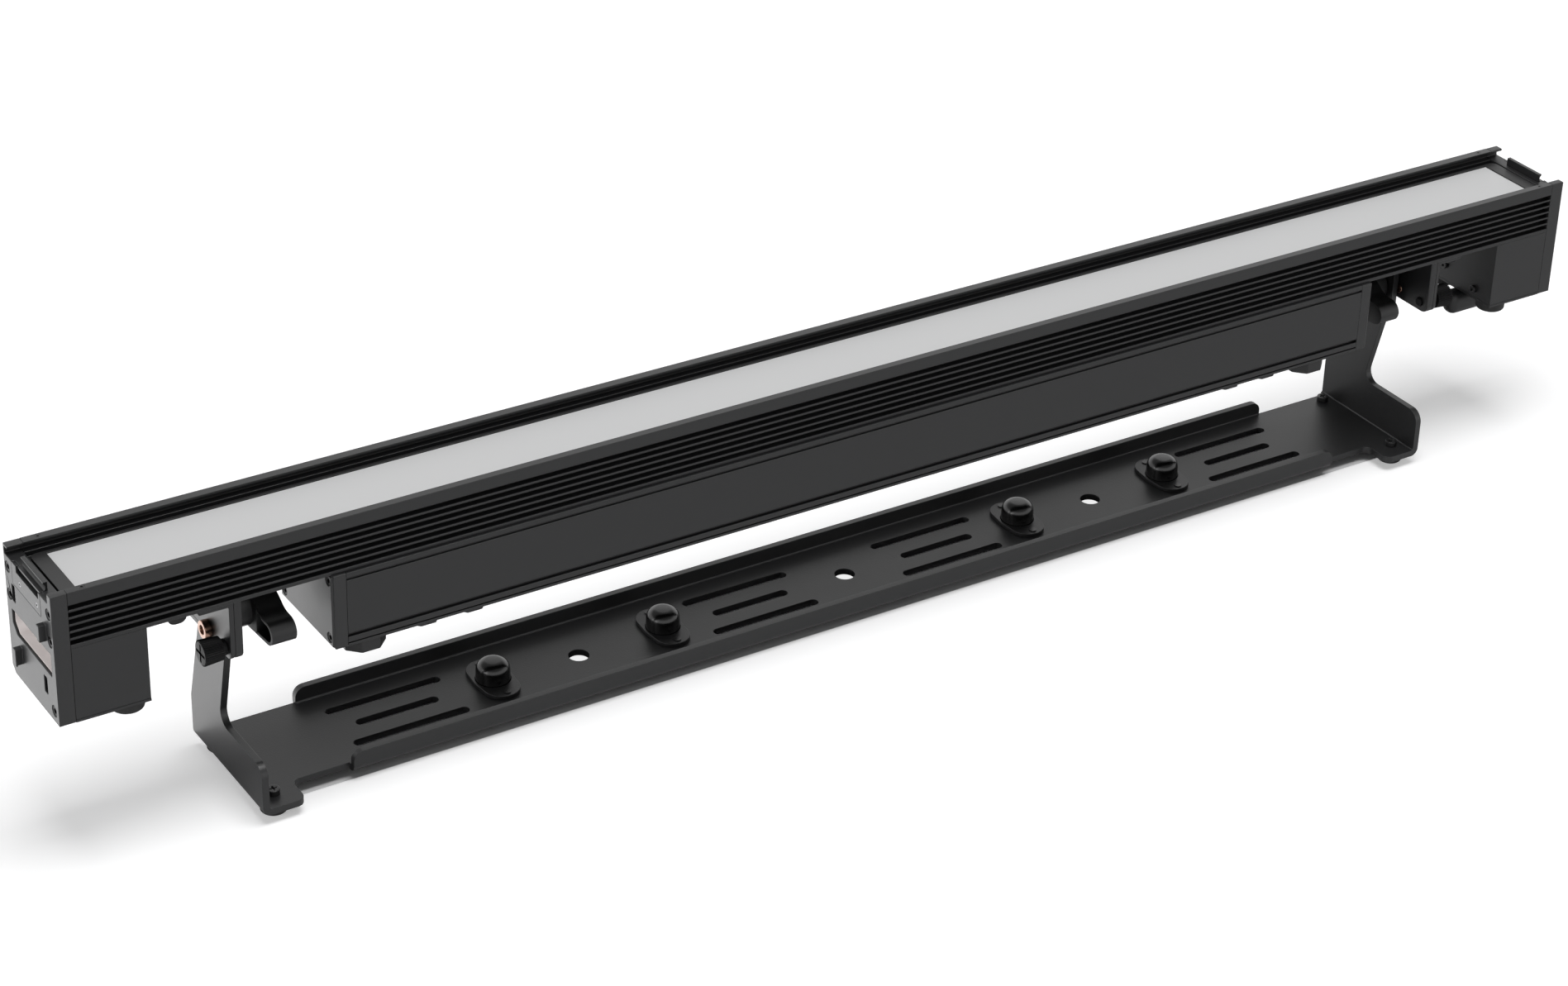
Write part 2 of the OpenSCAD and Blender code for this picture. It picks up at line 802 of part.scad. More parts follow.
module window_outline(inset) {
  low = -window_drop - window_h + inset;
  high = -window_drop - inset;
  front = window_front + inset;
  back = window_front + window_w - inset;
  polygon([[front, low], [back - window_chamfer, low], [back, low + window_chamfer], [back, high], [front, high]]);
}

module face_turn(turn) {
  translate([0, turn ? head_depth : 0, 0]) mirror([0, turn ? 1 : 0, 0]) children();
}

function plate_screw_places() = [
  for (z = plate_screw_drops, y = [plate_screw_inset, head_depth - plate_screw_inset]) [y, z],
  [low_screw_inset, low_screw_drop]];

module end_plate(turn) {
  tab_reach = bar_end + tab_out;
  slot_floor = bar_end - tab_out - 1.2 * blade_t;
  difference() {
    union() {
      along_x(profile_end, bar_end) {
        difference() {
          end_outline(end_h);
          rail_cut(recess_depth);
        }
        back_flange();
      }
      face_turn(turn) for (tab = [tab_a, tab_b]) {
        block([bar_end - cut, tab[0], -tab[1] - tab_h], [tab_reach, tab[0] + tab_t, -tab[1]]);
      }
    }
    face_turn(turn) {
      along_x(profile_end - cut, bar_end + cut) window_outline(0);
      for (tab = [tab_a, tab_b]) {
        mate = head_depth - tab[0] - tab_t;
        block([slot_floor, mate - tab_play, -tab[1] - tab_h - tab_play],
              [bar_end + cut, mate + tab_t + tab_play, -tab[1] + tab_play]);
      }
      for (p = plate_screw_places()) {
        rod_x(plate_screw_r + fit, bar_end - screw_head_h - screw_head_sink, bar_end + cut, p[0], -p[1]);
        rod_x(screw_shank_r + fit, profile_end - cut, bar_end, p[0], -p[1]);
      }
      rod_x(pin_hole_r, bar_end - pin_hole_depth, bar_end + cut, head_depth - low_screw_inset, -low_screw_drop);
    }
    block([bar_end - cover_t, cover_back - cover_w, -cover_drop], [bar_end + cut, cover_back, -recess_depth + cut]);
    block([bar_end - blade_back, head_mid - blade_len / 2, -recess_depth - blade_t],
          [bar_end + cut, head_mid + blade_len / 2, -recess_depth + cut]);
    for (p = clip_screw_places) {
      rod_x(clip_screw_r * hex_share + fit, bar_end - end_plate_t / 2, bar_end, p[0], -p[1]);
    }
  }
}

module left_end_plate() {
  color("#2a2b2e") head() mirrored() end_plate(false);
}

module right_end_plate() {
  color("#2a2b2e") head() end_plate(true);
}

module end_plate_screws() {
  face = bar_end - screw_head_sink;
  color("#1b1b1c") head() {
    mirrored() for (p = plate_screw_places()) screw_in(face, plate_screw_len, plate_screw_r, p[0], -p[1]);
    face_turn(true) for (p = plate_screw_places()) screw_in(face, plate_screw_len, plate_screw_r, p[0], -p[1]);
  }
}

module blade_section() {
  back = bar_end - blade_back;
  hollow = recess_depth - blade_drop - blade_t;
  translate([back, -recess_depth - blade_t]) square([blade_back - cover_t / 2, blade_t]);
  difference() {
    translate([back, -recess_depth - blade_t]) square([blade_t * 2, recess_depth + blade_t - blade_drop]);
    translate([back + blade_t + hollow * 0.7, -recess_depth + hollow / 2]) circle(hollow * 0.7);
  }
}

module clip_blades() {
  color("#3a3b3e") head() both_sides() {
    along_y(head_mid - blade_len / 2, head_mid + blade_len / 2) blade_section();
  }
}

module clip_covers() {
  color("#2f3033") head() both_sides() difference() {
    block([bar_end - cover_t, cover_back - cover_w, -cover_drop], [bar_end, cover_back, -recess_depth]);
    block([bar_end - cover_t - cut, head_mid - blade_len / 2 - fit, -recess_depth - blade_notch],
          [bar_end + cut, head_mid + blade_len / 2 + fit, -recess_depth + cut]);
    for (p = clip_screw_places) {
      rod_x(clip_screw_r + fit, bar_end - cover_t / 2, bar_end + cut, p[0], -p[1]);
      rod_x(clip_screw_r * hex_share + fit, bar_end - cover_t - cut, bar_end, p[0], -p[1]);
    }
  }
}

module clip_screws() {
  color("#b9bbbd") head() both_sides() for (p = clip_screw_places) difference() {
    union() {
      rod_x(clip_screw_r, bar_end - cover_t / 2, bar_end - fit, p[0], -p[1]);
      rod_x(clip_screw_r * hex_share, bar_end - end_plate_t / 2, bar_end - fit, p[0], -p[1]);
    }
    hex_x(clip_screw_r * hex_share, bar_end - cover_t * 0.3, bar_end + cut, p[0], -p[1]);
  }
}

module end_box_outline(inset) {
  top = -profile_h - inset;
  back = head_depth - inset;
  polygon([[inset, top], [inset, -end_h], [back - end_chamfer, -end_h], [back, -end_h + end_chamfer], [back, top]]);
}

module end_box(turn) {
  difference() {
    union() {
      difference() {
        along_x(end_box_in, profile_end) end_box_outline(0);
        along_x(end_box_in + end_box_wall, profile_end + cut) end_box_outline(end_box_wall);
      }
      face_turn(turn) rod_x(boss_r, profile_end - boss_len, profile_end, low_screw_inset, -low_screw_drop);
    }
    block([end_box_in - cut, -cut, -end_h - cut], [profile_end + cut, head_depth + cut, -end_cover_low]);
    face_turn(turn) {
      rod_x(screw_shank_r + fit, profile_end - boss_len - cut, profile_end + cut, low_screw_inset, -low_screw_drop);
    }
    for (p = box_screw_places) {
      rod_x(screw_shank_r + fit, end_box_in - cut, end_box_in + end_box_wall + cut, p[0], -p[1]);
    }
  }
}

module left_end_box() {
  color("#2d2e31") head() mirrored() end_box(false);
}

module right_end_box() {
  color("#2d2e31") head() end_box(true);
}

module end_cover() {
  intersection() {
    along_x(end_box_in, profile_end) end_box_outline(0);
    block([end_box_in - cut, -cut, -end_h - cut], [profile_end + cut, head_depth + cut, -end_cover_low]);
  }
}

module left_end_cover() {
  color("#232426") head() mirrored() end_cover();
}

module right_end_cover() {
  color("#232426") head() difference() {
    end_cover();
    translate([stem_x + latch_travel / 2, head_mid, -end_h - cut])
      linear_extrude(end_cover_t + 2 * cut) slot_shape(latch_travel + 2 * (stem_r + cut), 2 * (stem_r + cut));
  }
}

module end_box_feet() {
  x = end_box_in + end_foot_inset;
  color("#141414") head() both_sides() for (y = [end_foot_inset, head_depth - end_foot_inset]) {
    translate([x, y, -end_h]) mirror([0, 0, 1]) rotate_extrude() polygon([
      [0, 0], [end_foot_r, 0], [end_foot_r, end_foot_h - foot_bevel], [end_foot_r - foot_bevel, end_foot_h],
      [end_foot_r / 2, end_foot_h], [end_foot_r / 2, end_foot_h / 2], [0, end_foot_h / 2]]);
  }
}

module end_box_screws() {
  color("#1b1b1c") head() both_sides() for (p = box_screw_places) difference() {
    union() {
      rod_x(box_screw_r, end_box_in - box_screw_h, end_box_in, p[0], -p[1]);
      rod_x(screw_shank_r, end_box_in - box_screw_h, end_box_in + end_box_wall, p[0], -p[1]);
    }
    hex_x(box_screw_r * hex_share, end_box_in - box_screw_h - cut, end_box_in - box_screw_h / 2, p[0], -p[1]);
  }
}

module pocket_liner() {
  color("#b98d7c") head() mirrored() difference() {
    along_x(bar_end - pocket_depth, bar_end - screw_head_sink) window_outline(0);
    along_x(bar_end - pocket_depth + liner_t, bar_end + cut) window_outline(liner_t);
  }
}

module bolt_guide() {
  half = bolt_w / 2 + bolt_play;
  low = bolt_low + bolt_play;
  color("#8b8d90") head() along_x(bolt_in + 2, profile_end) difference() {
    translate([head_mid - half - guide_wall, -low - guide_lip_t])
      square([2 * (half + guide_wall), low + guide_lip_t - profile_h - end_box_wall]);
    translate([head_mid - half, -low]) square([2 * half, bolt_t + 2 * bolt_play]);
    translate([head_mid - guide_gap / 2, -low - guide_lip_t - cut]) square([guide_gap, guide_lip_t + 2 * cut]);
  }
}

module coupling_bolt() {
  half = bolt_w / 2;
  color("#a9abae") head() translate([0, head_mid, 0]) difference() {
    along_z(-bolt_low, -bolt_low + bolt_t) polygon(rounded([
      [bolt_in, -half], [bolt_out, -half, nose_corner], [bolt_out, half, nose_corner], [bolt_in, half]]));
    translate([bolt_out - half / 2, 0, -bolt_low - cut]) linear_extrude(bolt_t + 2 * cut) rotate(90)
      slot_shape(half, half / 4);
  }
}

module latch_handle() {
  low = -handle_top - handle_h;
  back = stem_x - handle_len / 2;
  color("#1f2022") head() {
    difference() {
      along_y(head_mid - handle_w / 2, head_mid + handle_w / 2) polygon(rounded([
        [back, -handle_top, handle_corner], [back, low, handle_corner],
        [back + handle_len, low, handle_corner], [back + handle_len, -handle_top, handle_corner]]));
      for (i = [-2:2], y = [head_mid - handle_w / 2, head_mid + handle_w / 2]) {
        rod_z(handle_len / 24, low - cut, -handle_top - handle_corner, stem_x + i * handle_len / 8, y);
      }
    }
    rod_z(stem_r, -handle_top - fit, -bolt_low, stem_x, head_mid);
  }
}

module power_outline(inset) {
  translate([inset - power_front, -power_low + inset]) square([power_depth - 2 * inset, power_h - 2 * inset]);
}

function cap_screw_places() = [
  for (y = [cap_screw_inset, power_depth - cap_screw_inset], z = [cap_screw_top, power_h - cap_screw_bottom])
    [y - power_front, profile_h + z]];

module socket_spots(index) {
  translate([power_end - socket_places[index], socket_y, 0]) children();
}

module panel_button(index) {
  translate([button_x + index * button_pitch, 0, -panel_mid]) children();
}

module power_box() {
  color("#232427") head() difference() {
    along_x(-power_in, power_in) difference() {
      power_outline(0);
      difference() {
        power_outline(power_wall);
        for (y = [-power_front, power_back - post_w], z = [-power_low, -profile_h - post_w]) {
          translate([y, z]) square(post_w);
        }
      }
      for (g = power_grooves) {
        translate([-power_front - cut, -profile_h - g[0] - g[1] / 2]) square([g[2] + cut, g[1]]);
        translate([power_back - g[2], -profile_h - g[0] - g[1] / 2]) square([g[2] + cut, g[1]]);
      }
    }
    both_sides() for (i = [0:2]) socket_spots(i) {
      rod_z(socket_body_r + fit, -power_low - cut, -power_floor + cut, 0, 0);
    }
    both_sides() for (p = cap_screw_places()) {
      rod_x(screw_shank_r + fit, power_in - plate_screw_len, power_in + cut, p[0], -p[1]);
    }
    for (i = [0:3]) panel_button(i) rod_y(button_r + button_gap, power_back - power_wall - cut, power_back + cut, 0, 0);
    translate([display_x - display_size[0] / 2, power_back - display_t, -panel_mid - display_size[1] / 2])
      cube([display_size[0], display_t + cut, display_size[1]]);
  }
}

module power_cap() {
  difference() {
    union() {
      along_x(power_in, power_end - cap_bevel) power_outline(0);
      along_x(power_in, power_end) power_outline(cap_bevel);
    }
    for (p = cap_screw_places()) {
      rod_x(cap_screw_r + fit, power_end - screw_head_h - screw_head_sink, power_end + cut, p[0], -p[1]);
      rod_x(screw_shank_r + fit, power_in - cut, power_end, p[0], -p[1]);
    }
  }
}

module left_power_cap() {
  color("#2b2c2f") head() mirrored() power_cap();
}

module right_power_cap() {
  color("#2b2c2f") head() power_cap();
}

module power_cap_screws() {
  color("#1b1b1c") head() both_sides() for (p = cap_screw_places()) {
    screw_in(power_end - screw_head_sink, plate_screw_len, cap_screw_r, p[0], -p[1]);
  }
}

module hood_outline(width) {
  c = width * socket_corner_share;
  h = width / 2;
  polygon([[-h + c, -h], [h - c, -h], [h, -h + c], [h, h - c], [h - c, h], [-h + c, h], [-h, h - c], [-h, -h + c]]);
}

/* A panel socket that faces down: flange, hood with a round mouth, and a body inside the box. */
module socket(hood_w, hood_h, mouth_r, contacts, male) {
  low = -power_low - hood_h;
  mouth_top = -power_low - socket_floor;
  difference() {
    union() {
      along_z(-power_low - socket_flange_t, -power_low) polygon(rounded([
        [-socket_flange_w / 2, -socket_flange_len / 2, mouth_r / 3],
        [socket_flange_w / 2, -socket_flange_len / 2, mouth_r / 3],
        [socket_flange_w / 2, socket_flange_len / 2, mouth_r / 3],
        [-socket_flange_w / 2, socket_flange_len / 2, mouth_r / 3]]));
      along_z(low, -power_low) hood_outline(hood_w);
      rod_z(socket_body_r, -power_low - fit, -power_floor + socket_body_h, 0, 0);
    }
    rod_z(mouth_r, low - cut, mouth_top, 0, 0);
  }
  if (male) {
    for (a = [1:contacts]) rotate(a * 360 / contacts)
      rod_z(contact_r, mouth_top - contact_len, mouth_top + fit, mouth_r * 0.62, 0);
  } else {
    difference() {
      rod_z(mouth_r - insert_gap, low + insert_gap / 2, mouth_top + fit, 0, 0);
      for (a = [1:contacts]) rotate(a * 360 / contacts)
        rod_z(contact_r, low - cut, low + contact_len, (mouth_r - insert_gap) * 0.62, 0);
    }
  }
}

module power_inlet() {
  color("#18191a") head() mirrored() socket_spots(0) socket(power_hood_w, power_hood_h, power_mouth_r, 3, true);
}

module power_outlet() {
  color("#18191a") head() socket_spots(0) socket(power_hood_w, power_hood_h, power_mouth_r, 3, false);
}

module data_inlet() {
  color("#18191a") head() mirrored() socket_spots(1) socket(data_hood_w, data_hood_h, data_mouth_r, 5, true);
}

module data_outlet() {
  color("#18191a") head() socket_spots(1) socket(data_hood_w, data_hood_h, data_mouth_r, 5, false);
}

module network_inlet() {
  color("#18191a") head() mirrored() socket_spots(2) socket(data_hood_w, data_hood_h, data_mouth_r, 4, true);
}

module network_outlet() {
  color("#18191a") head() socket_spots(2) socket(data_hood_w, data_hood_h, data_mouth_r, 4, false);
}

/* A circuit board on four standoffs, with the big parts that it carries. */
module board(from, to, parts) {
  depth = power_depth - 2 * post_w - 4 * cut;
  middle = power_depth / 2 - power_front;
  low = -power_floor + standoff_h;
  translate([0, middle, 0]) {
    block([from, -depth / 2, low], [to, depth / 2, low + board_t]);
    for (x = [from + 2 * standoff_r, to - 2 * standoff_r], y = [-1, 1]) {
      rod_z(standoff_r, -power_floor, low + fit, x, y * (depth / 2 - 2 * standoff_r));
    }
    for (p = parts) {
      x = from + (to - from) * p[0];
      block([x - p[1], -depth * p[2] / 2, low + board_t - fit], [x + p[1], depth * p[2] / 2, low + board_t + p[3]]);
    }
  }
}

supply_parts = [[0.12, 9, 0.5, 14], [0.35, 18, 0.7, 19], [0.6, 12, 0.4, 16], [0.82, 10, 0.6, 12]];
driver_parts = [[0.2, 7, 0.3, 4], [0.5, 9, 0.4, 3], [0.8, 12, 0.5, 8]];

module supply_board() {
  color("#2f6b3a") head() board(-0.6 * power_end, -0.1 * power_end, supply_parts);
}

module driver_board() {
  color("#2f6b3a") head() board(0, 0.1 * power_end, driver_parts);
}

button_face = power_back - power_wall - button_gap;
switch_face = button_face - button_flange_t - button_travel - button_gap;

module button_board() {
  back = switch_face - board_t;
  color("#2f6b3a") head() {
    block([display_x - display_size[0] / 2, back - board_t, -power_floor],
          [button_x + 3 * button_pitch + switch_w, back, -panel_mid + switch_w * 2]);
    for (i = [0:3]) panel_button(i) {
      block([-switch_w / 2, back - fit, -switch_w / 2], [switch_w / 2, switch_face, switch_w / 2]);
    }
  }
}

module display_window() {
  color("#101214") head() {
    block([display_x - display_size[0] / 2, power_back - display_t, -panel_mid - display_size[1] / 2],
          [display_x + display_size[0] / 2, power_back, -panel_mid + display_size[1] / 2]);
  }
}

module button(index) {
  head() panel_button(index) {
    rod_y(button_r, button_face - fit, power_back + button_out, 0, 0);
    rod_y(button_r + button_flange, button_face - button_flange_t, button_face, 0, 0);
  }
}

module menu_button() {
  color("#1c1d1f") button(0);
}

module down_button() {
  color("#1c1d1f") button(1);
}

module up_button() {
  color("#1c1d1f") button(2);
}

module enter_button() {
  color("#1c1d1f") button(3);
}

module stop_blocks() {
  start = hanger_end + stop_gap;
  color("#2a2b2d") head() both_sides() along_y(stop_back, stop_back + stop_w) polygon(rounded([
    [start, -profile_h], [start, -profile_h - stop_h, stop_corner],
    [start + stop_len, -profile_h - stop_h, stop_corner], [start + stop_len, -profile_h]]));
}

/* Both plates of a side share this outline below the profile. */
module plate_outline(top) {
  front = plate_inset;
  back = head_depth - plate_inset;
  polygon(rounded([[front, -top], [front, -plate_drop, plate_corner], [back, -plate_drop, plate_corner], [back, -top]]));
}

module thumb_hole() {
  rod_x(thumb_shank_r + running_gap, plate_in - cut, plate_out + cut, thumb_back, -pivot_drop);
}

module hook_hole() {
  rod_x(hook_shank_r + fit, plate_in - cut, plate_out + cut, hook_back, -pivot_drop);
}

module hanger_bolt_places() {
  for (y = [tslot_inset, head_depth - tslot_inset]) translate([(plate_out + hanger_end) / 2, y, 0]) children();
}

module hanger_plates() {
  color("#2f3034") head() both_sides() difference() {
    union() {
      along_x(plate_mid, plate_out) plate_outline(profile_h);
      block([plate_mid, plate_inset, -profile_h - hanger_t], [hanger_end, head_depth - plate_inset, -profile_h]);
    }
    thumb_hole();
    hook_hole();
    hanger_bolt_places() rod_z(tslot_neck / 2, -profile_h - hanger_t - cut, -profile_h + cut, 0, 0);
  }
}

module carrier_plates() {
  color("#313236") head() both_sides() difference() {
    along_x(plate_in, plate_mid) plate_outline(carrier_top);
    thumb_hole();
    hook_hole();
    rod_x(stud_r + fit, plate_in - cut, plate_mid + cut, pivot_back, -pivot_drop);
    rod_x(stud_head_r + fit, plate_mid - stud_head_t, plate_mid + cut, pivot_back, -pivot_drop);
  }
}

module hanger_bolts() {
  face = -profile_h - hanger_t;
  shank = tslot_neck / 2 - 2 * fit;
  color("#1b1b1c") head() both_sides() hanger_bolt_places() difference() {
    union() {
      rod_z(hanger_bolt_r, face - hanger_bolt_h, face, 0, 0);
      rod_z(shank, face - fit, -profile_h + tslot_lip + fit, 0, 0);
      block([-tnut_len / 2, -tslot_w / 2 + 2 * fit, -profile_h + tslot_lip],
            [tnut_len / 2, tslot_w / 2 - 2 * fit, -profile_h + tslot_lip + tslot_h - 2 * fit]);
    }
    translate([0, 0, face - hanger_bolt_h - cut])
      cylinder(r = hanger_bolt_r * hex_share, h = hanger_bolt_h / 2 + cut, $fn = 6);
  }
}

module hook_pins() {
  color("#c08a72") head() both_sides() difference() {
    union() {
      rod_x(hook_r, plate_out, plate_out + hook_len, hook_back, -pivot_drop);
      rod_x(hook_shank_r, plate_in, plate_out + fit, hook_back, -pivot_drop);
    }
    rod_x(hook_r * hex_share, plate_out + hook_len / 2, plate_out + hook_len + cut, hook_back, -pivot_drop);
  }
}

module pivot_studs() {
  color("#9ea0a3") pivot() both_sides() {
    rod_x(stud_r, stud_end, plate_mid - fit, 0, 0);
    rod_x(stud_head_r, plate_mid - stud_head_t, plate_mid, 0, 0);
  }
}

module friction_washers() {
  color("#1a1a1a") pivot() both_sides() difference() {
    rod_x(washer_r, arm_out, plate_in, 0, 0);
    rod_x(stud_r + running_gap, arm_out - cut, plate_in + cut, 0, 0);
  }
}

/* Outlines of a clamp lever seen along the tilt axis, with y to the back. */
module lever_shoulder() {
  polygon(bean(shoulder, shoulder_r, [0, 0], hub_r - hub_step));
}

module lever_tail(inset) {
  polygon(bean([-wing_reach, -wing_drop], wing_r - inset, tail, tail_r - inset));
}

module lever() {
  difference() {
    union() {
      rod_x(hub_r, wing_in + hub_step, hub_out, 0, 0);
      along_x(wing_in, wing_out) lever_shoulder();
      along_x(wing_in, wing_out) lever_tail(0);
    }
    difference() {
      along_x(wing_in + wing_wall, wing_out + cut) lever_tail(wing_wall);
      rod_x(hub_r + wing_wall, wing_in, wing_out + 2 * cut, 0, 0);
    }
    rod_x(insert_r + fit, hub_out - insert_len, hub_out + cut, 0, 0);
    rod_x(stud_r + lever_gap, stud_end - stud_room, hub_out, 0, 0);
  }
}

module insert() {
  difference() {
    rod_x(insert_r, hub_out - insert_len, hub_out, 0, 0);
    rod_x(stud_r + running_gap, hub_out - insert_len - cut, hub_out + cut, 0, 0);
  }
}

module right_lever() {
  color("#1d1e20") pivot() lever();
}

module left_lever() {
  color("#1d1e20") pivot() mirrored() lever();
}

module right_insert() {
  color("#8f9194") pivot() insert();
}

module left_insert() {
  color("#8f9194") pivot() mirrored() insert();
}

module knurl_outline() {
  step = 360 / knurl_count;
  polygon([for (i = [0:knurl_count - 1], half = [0, 1])
    (thumb_r - half * knurl_depth) * [cos((i + half / 2) * step), sin((i + half / 2) * step)]]);
}

module thumbscrew() {
  collar_in = plate_out + lever_gap;
  head_in = collar_in + collar_len;
  head_out = head_in + thumb_len;
  slot = thumb_r / 4;
  difference() {
    union() {
      along_x(head_in, head_out - slot / 2) knurl_outline();
      rod_x(thumb_r - knurl_depth - slot / 4, head_in, head_out, 0, 0);
      rod_x(collar_r, collar_in, head_in + fit, 0, 0);
      rod_x(thumb_shank_r, plate_in - thumb_end, collar_in + fit, 0, 0);
    }
    block([head_out - slot, -slot / 2, -thumb_r + slot], [head_out + cut, slot / 2, thumb_r - slot]);
    block([head_out - slot, -thumb_r + slot, -slot / 2], [head_out + cut, thumb_r - slot, slot / 2]);
  }
}

module right_thumbscrew() {
  color("#202124") head() translate([0, thumb_back, -pivot_drop]) thumbscrew();
}

module left_thumbscrew() {
  color("#202124") head() mirrored() translate([0, thumb_back, -pivot_drop]) thumbscrew();
}

/* Sheet folded up on both sides, with half its width given at its outer faces. */
module folded_section(half, height) {
  outer = bend_r + sheet_t;
  inner = half - sheet_t;
  polygon(rounded([
    [-half, height], [-half, 0, outer], [half, 0, outer], [half, height],
    [inner, height], [inner, sheet_t, bend_r], [-inner, sheet_t, bend_r], [-inner, height]]));
}

module flange_outline() {
  reach = arm_out - flange_inset;
  polygon(rounded([[-reach, 0], [reach, 0], [reach, flange_h, flange_corner], [-reach, flange_h, flange_corner]]));
}

/* Right half of the base seen from above, with a front lobe and an edge that stands back beyond the flange. */
module base_plan() {
  edge = base_depth / 2;
  inner = arm_out - lobe_len;
  fold = arm_in - bend_r;
  front = front_set_back - edge;
  back = edge - back_set_back;
  polygon(rounded([
    [-cut, back], [fold, back], [fold, edge], [arm_out, edge], [arm_out, -lobe_reach],
    [inner, -lobe_reach, lobe_corner], [inner, front, lobe_fillet], [-cut, front]]));
}

module arm_outline() {
  base = foot_h - pivot_h;
  step = base + arm_step_h;
  edge = base_depth / 2;
  polygon(rounded([
    [edge, base], [edge, base + arm_back_bend, arm_head_corner], [arm_head_back, 0, arm_head_corner],
    [arm_head_back, arm_head_top, arm_head_corner], [-arm_head_front, arm_head_top, arm_head_corner],
    [-arm_head_front, -arm_head_low, arm_notch_r], [-arm_neck_front, -arm_head_low - arm_notch_h, arm_notch_r],
    [arm_foot_front, step, arm_head_corner], [-lobe_reach, step, arm_head_corner], [-lobe_reach, base]]));
}

module slot_group(x) {
  translate([x, 0, 0]) {
    for (y = [-slot_row, slot_row]) translate([0, y, 0]) slot_shape(slot_len, slot_w);
    slot_shape(mid_slot_len, slot_w);
  }
}

module bracket() {
  top = pivot_h + arm_head_top - foot_h;
  reach = arm_out - flange_inset;
  color("#303236") stand() difference() {
    translate([0, 0, foot_h]) union() {
      intersection() {
        along_x(-reach, reach) folded_section(base_depth / 2, flange_h);
        along_y(-base_depth, base_depth) flange_outline();
      }
      intersection() {
        along_y(-lobe_reach, base_depth / 2) folded_section(arm_out, top);
        union() {
          linear_extrude(sheet_t + bend_r) both_sides() base_plan();
          both_sides() translate([0, 0, pivot_h - foot_h]) along_x(arm_in - bend_r, arm_out) arm_outline();
        }
      }
    }
    translate([0, 0, foot_h - cut]) linear_extrude(sheet_t + 2 * cut) {
      for (x = slot_places) slot_group(x);
      for (x = fix_places) translate([x, 0]) circle(fix_hole_r);
      for (x = quarter_places) {
        translate([x, 0]) circle(stud_hole_r);
        for (s = [-1, 1]) translate([x, s * rivet_place]) circle(rivet_r * hex_share + fit);
      }
    }
    foot_places() rod_z(foot_screw_shank_r + fit, foot_h - cut, foot_h + sheet_t + cut, 0, 0);
    both_sides() rod_x(stud_r + running_gap, arm_in - cut, arm_out + cut, 0, pivot_h);
  }
}

module foot_places() {
  both_sides() for (y = [-foot_front, foot_back]) translate([arm_out - foot_inset, y, 0]) children();
}

module bracket_feet() {
  color("#131313") stand() foot_places() difference() {
    rotate_extrude() polygon([
      [0, 0], [foot_r - foot_bevel, 0], [foot_r, foot_bevel], [foot_r - foot_bevel / 2, foot_h], [0, foot_h]]);
    rod_z(foot_screw_shank_r + fit, foot_h + sheet_t - foot_screw_len, foot_h + cut, 0, 0);
  }
}

module foot_screws() {
  seat = foot_h + sheet_t;
  color("#1a1a1b") stand() foot_places() difference() {
    union() {
      rod_z(foot_screw_r, seat, seat + foot_screw_h, 0, 0);
      rod_z(foot_screw_shank_r, seat - foot_screw_len, seat + fit, 0, 0);
    }
    for (turn = [0, 90]) translate([0, 0, seat + foot_screw_h]) rotate([0, 0, turn])
      block([-foot_screw_r * cross_share, -cross_t / 2, -cross_depth], [foot_screw_r * cross_share, cross_t / 2, cut]);
  }
}

module receptacle_places() {
  translate([0, 0, foot_h + sheet_t]) {
    for (x = quarter_places) translate([x, 0, 0]) children();
  }
}

module receptacle_flanges() {
  color("#2c2d30") stand() receptacle_places() linear_extrude(rivet_flange_t) difference() {
    union() {
      polygon(bean([0, 0], rivet_flange_r, [0, tip_place], rivet_tip_r));
      polygon(bean([0, 0], rivet_flange_r, [0, -tip_place], rivet_tip_r));
    }
    circle(dome_r + fit);
    for (s = [-1, 1]) translate([0, s * rivet_place]) circle(rivet_r * hex_share + fit);
  }
}

module receptacle_domes() {
  color("#111213") stand() receptacle_places() rotate_extrude() {
    difference() {
      intersection() {
        polygon(rounded([[-dome_r, 0], [dome_r, 0], [dome_r, dome_h, dome_round], [-dome_r, dome_h, dome_round]]));
        square([dome_r, dome_h]);
      }
      translate([0, -cut]) square([dome_r - dome_wall, dome_h - dome_wall + cut]);
    }
  }
}

module receptacle_rivets() {
  color("#3a3b3e") stand() receptacle_places() for (s = [-1, 1]) translate([0, s * rivet_place, 0]) {
    rod_z(rivet_r, rivet_flange_t, rivet_flange_t + rivet_h, 0, 0);
    rod_z(rivet_r * hex_share, -sheet_t, rivet_flange_t + fit, 0, 0);
  }
}

led_profile();
lens_frame();
lens();
lens_gasket();
light_board();
rail_screws();
left_end_plate();
right_end_plate();
end_plate_screws();
clip_blades();
clip_covers();
clip_screws();
left_end_box();
right_end_box();
left_end_cover();
right_end_cover();
end_box_feet();
end_box_screws();
pocket_liner();
bolt_guide();
coupling_bolt();
latch_handle();
power_box();
left_power_cap();
right_power_cap();
power_cap_screws();
power_inlet();
power_outlet();
data_inlet();
data_outlet();
network_inlet();
network_outlet();
supply_board();
driver_board();
button_board();
display_window();
menu_button();
down_button();
up_button();
enter_button();
stop_blocks();
hanger_plates();
carrier_plates();
hanger_bolts();
hook_pins();
pivot_studs();
friction_washers();
left_lever();
left_insert();
right_lever();
right_insert();
left_thumbscrew();
right_thumbscrew();
bracket();
bracket_feet();
foot_screws();
receptacle_flanges();
receptacle_domes();
receptacle_rivets();
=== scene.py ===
import json
import math
import bpy
from mathutils import Matrix, Vector


